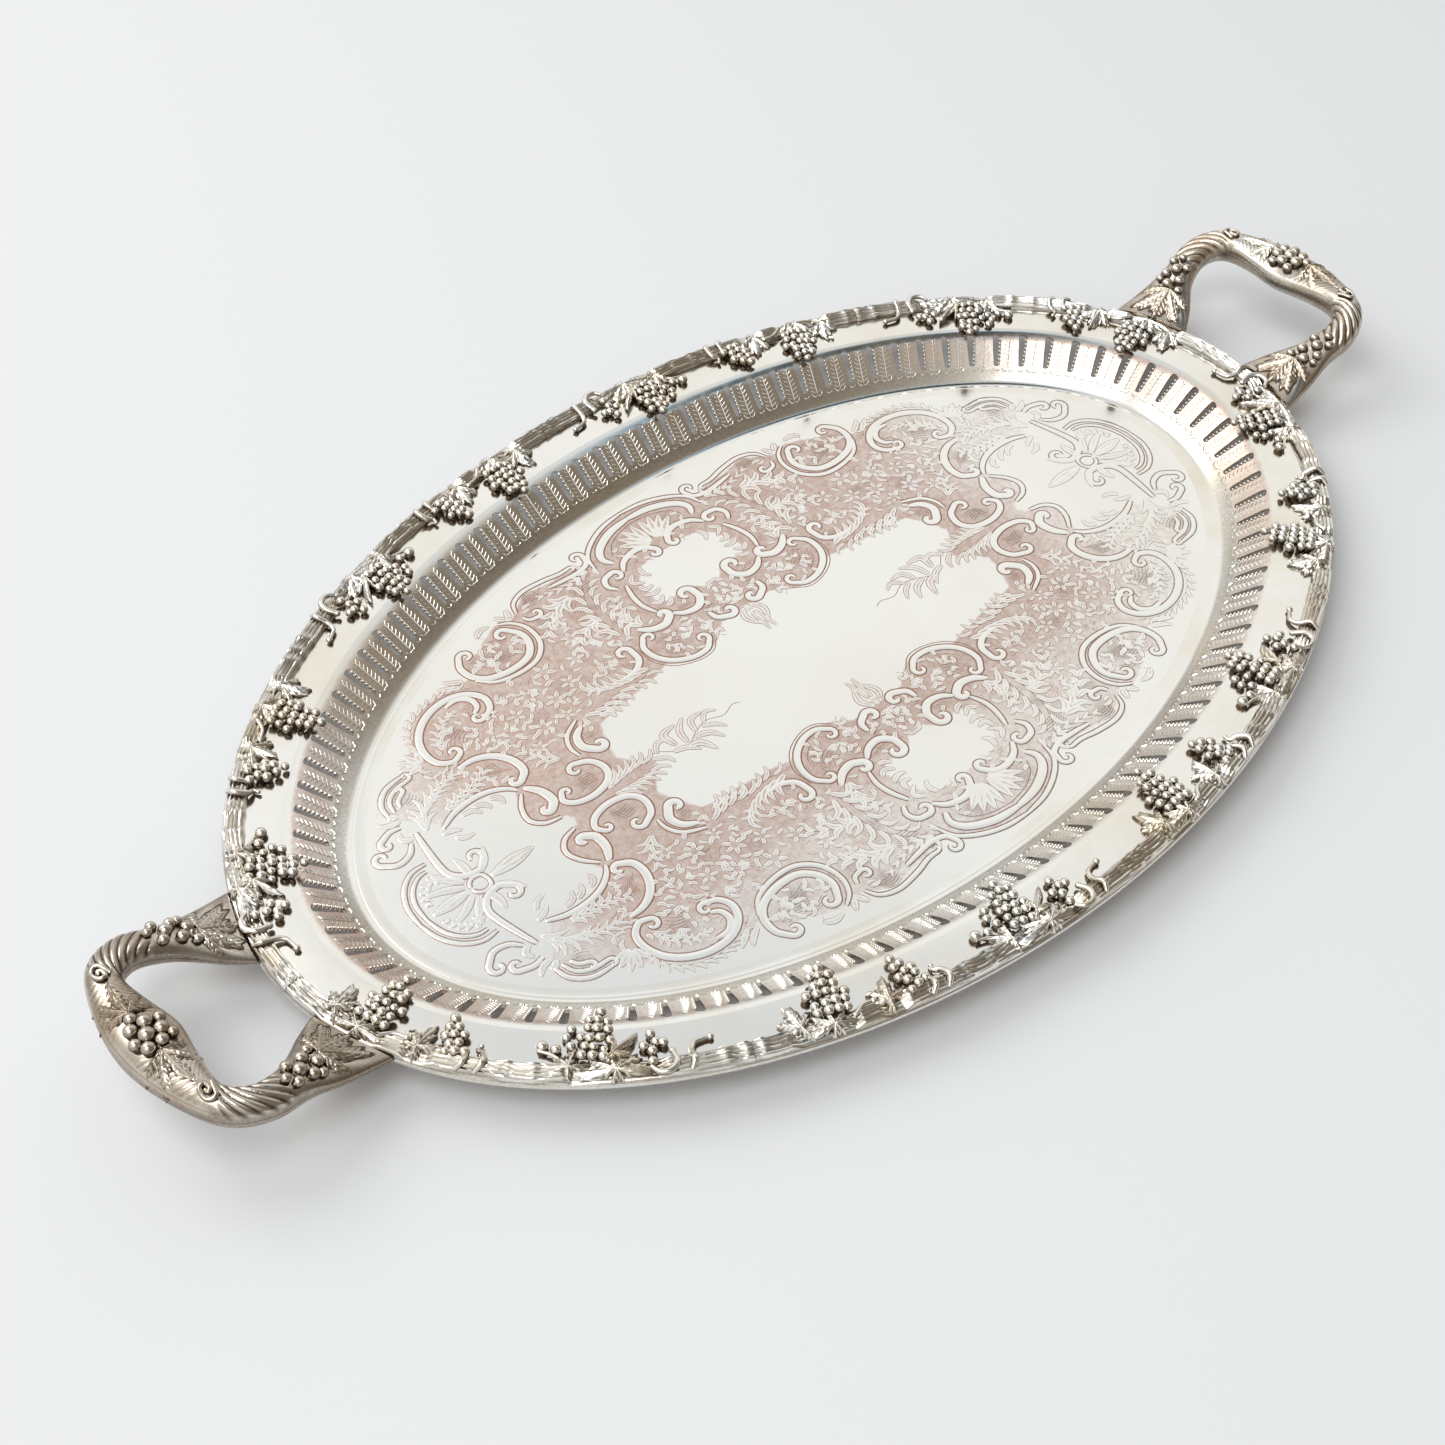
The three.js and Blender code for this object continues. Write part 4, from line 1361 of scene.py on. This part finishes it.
def silver(name, polished, stained, tarnish, copper, gloss, patch, patch_scale):
    """Silver plate: polished metal, a warm stain in clouds, dark tarnish where the surface lies deep and
    painted shade under balls and tubes, copper where the plate has worn through, and fine scratches."""
    material = bpy.data.materials.new(name)
    material.use_nodes = True
    tree = material.node_tree
    shader = tree.nodes["Principled BSDF"]
    shader.inputs["Metallic"].default_value = 1.0
    place = tree.nodes.new("ShaderNodeTexCoord").outputs["Object"]
    clouds = ramp(tree, noise(tree, place, patch_scale, 5.0, 0.6), *CLOUD_RANGE)
    speckle = noise(tree, place, SPECKLE_SCALE, 4.0, 0.6)
    colour = mix_colours(tree, maths(tree, "MULTIPLY", clouds, patch), polished, stained)
    scribble = maths(tree, "SUBTRACT", noise(tree, place, SCRIBBLE_SCALE, 3.0, 0.7), 0.5)
    worn = maths(tree, "MULTIPLY_ADD", scribble, SCRIBBLE_SHARE, attribute(tree, "copper"))
    worn = ramp(tree, worn, *WORN_RANGE)
    colour = mix_colours(tree, worn, colour, copper)
    # Dark mask: tarnish in hollows together with painted shade under balls and tubes, broken up by speckle.
    grime_and_shade = maths(tree, "SUBTRACT", speckle, 0.5)
    grime_and_shade = maths(tree, "MULTIPLY_ADD", grime_and_shade, SPECKLE_SHARE, attribute(tree, "tarnish"))
    grime_and_shade = ramp(tree, grime_and_shade, *GRIME_AND_SHADE_RANGE)
    colour = mix_colours(tree, grime_and_shade, colour, tarnish)
    tree.links.new(colour, shader.inputs["Base Color"])
    rough = maths(tree, "MULTIPLY_ADD", clouds, CLOUD_ROUGHNESS, gloss)
    rough = maths(tree, "MULTIPLY_ADD", grime_and_shade, GRIME_ROUGHNESS, rough)
    rough = maths(tree, "MULTIPLY_ADD", worn, WORN_ROUGHNESS, rough, clamp=True)
    tree.links.new(rough, shader.inputs["Roughness"])
    streaks = tree.nodes.new("ShaderNodeMapping")
    streaks.inputs["Scale"].default_value = SCRATCH_SCALE
    streaks.inputs["Rotation"].default_value = (0.0, 0.0, SCRATCH_TURN)
    tree.links.new(place, streaks.inputs["Vector"])
    scratches = noise(tree, streaks.outputs[0], 1.0, 2.0)
    dents = noise(tree, place, DENT_SCALE, 2.0)
    scratches = maths(tree, "MULTIPLY", scratches, SCRATCH_SHARE)
    relief = maths(tree, "MULTIPLY_ADD", dents, DENT_SHARE, scratches)
    bump = add_node(tree, "ShaderNodeBump", Strength=BUMP_STRENGTH, Distance=BUMP_DISTANCE)
    tree.links.new(relief, bump.inputs["Height"])
    tree.links.new(bump.outputs[0], shader.inputs["Normal"])
    return material


SHEET_SILVER = silver(
    "sheet_silver",
    polished=(0.91, 0.895, 0.855, 1), stained=(0.82, 0.75, 0.62, 1),
    tarnish=(0.28, 0.21, 0.135, 1), copper=(0.60, 0.38, 0.29, 1),
    gloss=0.13, patch=0.8, patch_scale=14.0,
)
FIELD_SILVER = silver(
    "field_silver",
    polished=(0.92, 0.91, 0.875, 1), stained=(0.88, 0.84, 0.76, 1),
    tarnish=(0.17, 0.105, 0.08, 1), copper=(0.49, 0.275, 0.205, 1),
    gloss=0.16, patch=0.5, patch_scale=9.0,
)
BORDER_SILVER = silver(
    "border_silver",
    polished=(0.87, 0.85, 0.80, 1), stained=(0.74, 0.655, 0.53, 1),
    tarnish=(0.14, 0.105, 0.075, 1), copper=(0.6, 0.42, 0.33, 1),
    gloss=0.15, patch=0.95, patch_scale=22.0,
)
# One silver in two copies: the right handle's is painted lighter, a painted reflection of the bright far
# side, and the left handle's darker, painted shade.
HANDLE_SILVER = {
    "right": silver(
        "right_handle_lit_silver",
        polished=(0.80, 0.745, 0.655, 1), stained=(0.54, 0.43, 0.32, 1),
        tarnish=(0.10, 0.065, 0.042, 1), copper=(0.55, 0.36, 0.26, 1),
        gloss=0.18, patch=1.0, patch_scale=26.0,
    ),
    "left": silver(
        "left_handle_shaded_silver",
        polished=(0.66, 0.60, 0.52, 1), stained=(0.40, 0.31, 0.225, 1),
        tarnish=(0.075, 0.05, 0.035, 1), copper=(0.50, 0.33, 0.24, 1),
        gloss=0.18, patch=1.0, patch_scale=26.0,
    ),
}


# ---- the tray ----
def finish_piece(made, material, slot, *nodes):
    made.data.materials.append(material)
    if nodes:
        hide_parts(*nodes)
    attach(made, "root")


finish_piece(tray_sheet(), SHEET_SILVER, "tray_sheet", "tray_body")
finish_piece(field_plate(), FIELD_SILVER, "tray_sheet")
quarter = Engraving()
draw_scrolls(quarter)
draw_foliage(quarter)
draw_ground(quarter)
sprig = Engraving()
draw_sprig(sprig)
finish_piece(engraved("engraved_scrolls", quarter.bands), FIELD_SILVER, "tray_sheet")
finish_piece(engraved("engraved_leaves", quarter.leaves, sprig.leaves), FIELD_SILVER, "tray_sheet")
finish_piece(engraved("engraved_lines", quarter.lines, sprig.lines), FIELD_SILVER, "tray_sheet")
finish_piece(fern_fronds(), SHEET_SILVER, "tray_sheet")
for border_index in range(BORDER_COUNT):
    casting = vine_border(border_index)
    finish_piece(casting, BORDER_SILVER, "border_casting", f"vine_border_{border_index + 1}")
for hand in ("right", "left"):
    for side, half_name in ((1, "upper"), (-1, "lower")):
        casting = casting_half(hand, side, f"{hand}_grip_{half_name}")
        finish_piece(casting, HANDLE_SILVER[hand], "handle_casting", f"{hand}_handle_{half_name}")


# ---- floor, light and camera ----
FLOOR_SIZE = 12
FLOOR_PAPER = (0.765, 0.775, 0.795, 1)
ROOM_WHITE = (0.985, 0.99, 0.975, 1)
ROOM_DARK = (0.25, 0.215, 0.17, 1)
OVERHEAD_GREY = (0.60, 0.64, 0.69, 1)
LAMP_EDGE = (0.42, 0.62, 0.80, 1)
LAMP_CORE = (0.06, 0.065, 0.06, 1)
LOW_BROWN = (0.2, 0.185, 0.17, 1)
DARK_SIDE = (0.42, -0.72, 0.50)
LAMP_PLACE = (0.22, -0.02, 0.97)
ROOM_STRENGTH = 0.97
# Name, place in metres, size in metres, power in watts and colour.
AREA_LIGHTS = (
    ("key", (-0.5, 1.5, 1.7), 1.4, 15.0, (1.0, 0.98, 0.95)),
    ("top", (-1.1, -0.3, 2.3), 1.4, 19.0, (1, 1, 1)),
)


def floor():
    bpy.ops.mesh.primitive_plane_add(size=FLOOR_SIZE)
    made = bpy.context.object
    made.name = "floor"
    material = bpy.data.materials.new("floor_paper")
    material.use_nodes = True
    shader = material.node_tree.nodes["Principled BSDF"]
    shader.inputs["Base Color"].default_value = FLOOR_PAPER
    shader.inputs["Roughness"].default_value = 0.9
    shader.inputs["Specular IOR Level"].default_value = 0.1
    made.data.materials.append(material)


def aim(thing, target):
    thing.rotation_mode = "QUATERNION"
    thing.rotation_quaternion = (Vector(target) - thing.location).to_track_quat("-Z", "Y")


def area_light(name, place, size, power, colour):
    data = bpy.data.lights.new(name, "AREA")
    data.size = size
    data.energy = power
    data.color = colour
    made = bpy.data.objects.new(name, data)
    made.location = place
    bpy.context.scene.collection.objects.link(made)
    aim(made, (0, 0, 0))


def facing(tree, place, direction):
    """How nearly a direction of view points the given way, 1 at most."""
    node = tree.nodes.new("ShaderNodeVectorMath")
    node.operation = "DOT_PRODUCT"
    tree.links.new(place, node.inputs[0])
    node.inputs[1].default_value = Vector(direction).normalized()
    return node.outputs["Value"]


def studio():
    """A white room, darker and warmer on one side and low down, greyer overhead on
    the far side, with a dark lamp head above, and two soft lights."""
    world = bpy.data.worlds.new("studio")
    bpy.context.scene.world = world
    world.use_nodes = True
    tree = world.node_tree
    ground = tree.nodes["Background"]
    place = tree.nodes.new("ShaderNodeTexCoord").outputs["Generated"]
    shade = ramp(tree, facing(tree, place, DARK_SIDE), 0.45, 0.88)
    colour = mix_colours(tree, shade, ROOM_WHITE, ROOM_DARK)
    height = tree.nodes.new("ShaderNodeSeparateXYZ")
    tree.links.new(place, height.inputs[0])
    ripple = maths(tree, "MULTIPLY_ADD", noise(tree, place, 2.2, 1.0), 0.12, height.outputs["Z"])
    above = ramp(tree, ripple, 0.835, 0.875)
    overhead = maths(tree, "MULTIPLY", above, ramp(tree, height.outputs["Y"], 0.05, 0.3))
    colour = mix_colours(tree, maths(tree, "MULTIPLY", overhead, 0.6), colour, OVERHEAD_GREY)
    lamp = facing(tree, place, LAMP_PLACE)
    nearness = maths(tree, "MULTIPLY_ADD", noise(tree, place, 5.0, 1.0), 0.02, lamp)
    colour = mix_colours(tree, ramp(tree, nearness, 0.965, 0.985), colour, LAMP_EDGE)
    colour = mix_colours(tree, ramp(tree, nearness, 0.982, 0.992), colour, LAMP_CORE)
    low = ramp(tree, height.outputs["Z"], 0.42, 0.04)
    colour = mix_colours(tree, maths(tree, "MULTIPLY", low, 0.65), colour, LOW_BROWN)
    tree.links.new(colour, ground.inputs["Color"])
    ground.inputs["Strength"].default_value = ROOM_STRENGTH
    for light in AREA_LIGHTS:
        area_light(*light)


CAMERA_AZIMUTH = math.radians(-42.60)
CAMERA_ELEVATION = math.radians(47.42)
CAMERA_ROLL = math.radians(-0.84)
CAMERA_DISTANCE = 3.257
CAMERA_TARGET = (-0.2458, -0.0607)
SENSOR = 36.0
CAMERA_LENS = 1.520 * SENSOR
RIM_TOP = FLANGE + 3.6


def camera():
    """The view is given in half lengths of the oval, from its right and its front."""
    data = bpy.data.cameras.new("camera")
    data.sensor_width = SENSOR
    data.lens = CAMERA_LENS
    data.clip_start = 0.05
    data.clip_end = 30
    made = bpy.data.objects.new("camera", data)
    bpy.context.scene.collection.objects.link(made)
    unit = HALF_LENGTH * MM
    target = Vector((CAMERA_TARGET[0] * unit, CAMERA_TARGET[1] * unit, RIM_TOP * MM))
    level = math.cos(CAMERA_ELEVATION)
    back = Vector((
        math.sin(CAMERA_AZIMUTH) * level,
        -math.cos(CAMERA_AZIMUTH) * level,
        math.sin(CAMERA_ELEVATION),
    ))
    made.location = target + back * CAMERA_DISTANCE * unit
    aim(made, target)
    made.rotation_quaternion = made.rotation_quaternion @ Quaternion((0, 0, 1), CAMERA_ROLL)
    bpy.context.scene.camera = made


floor()
studio()
camera()
bpy.context.scene.view_settings.view_transform = "Standard"
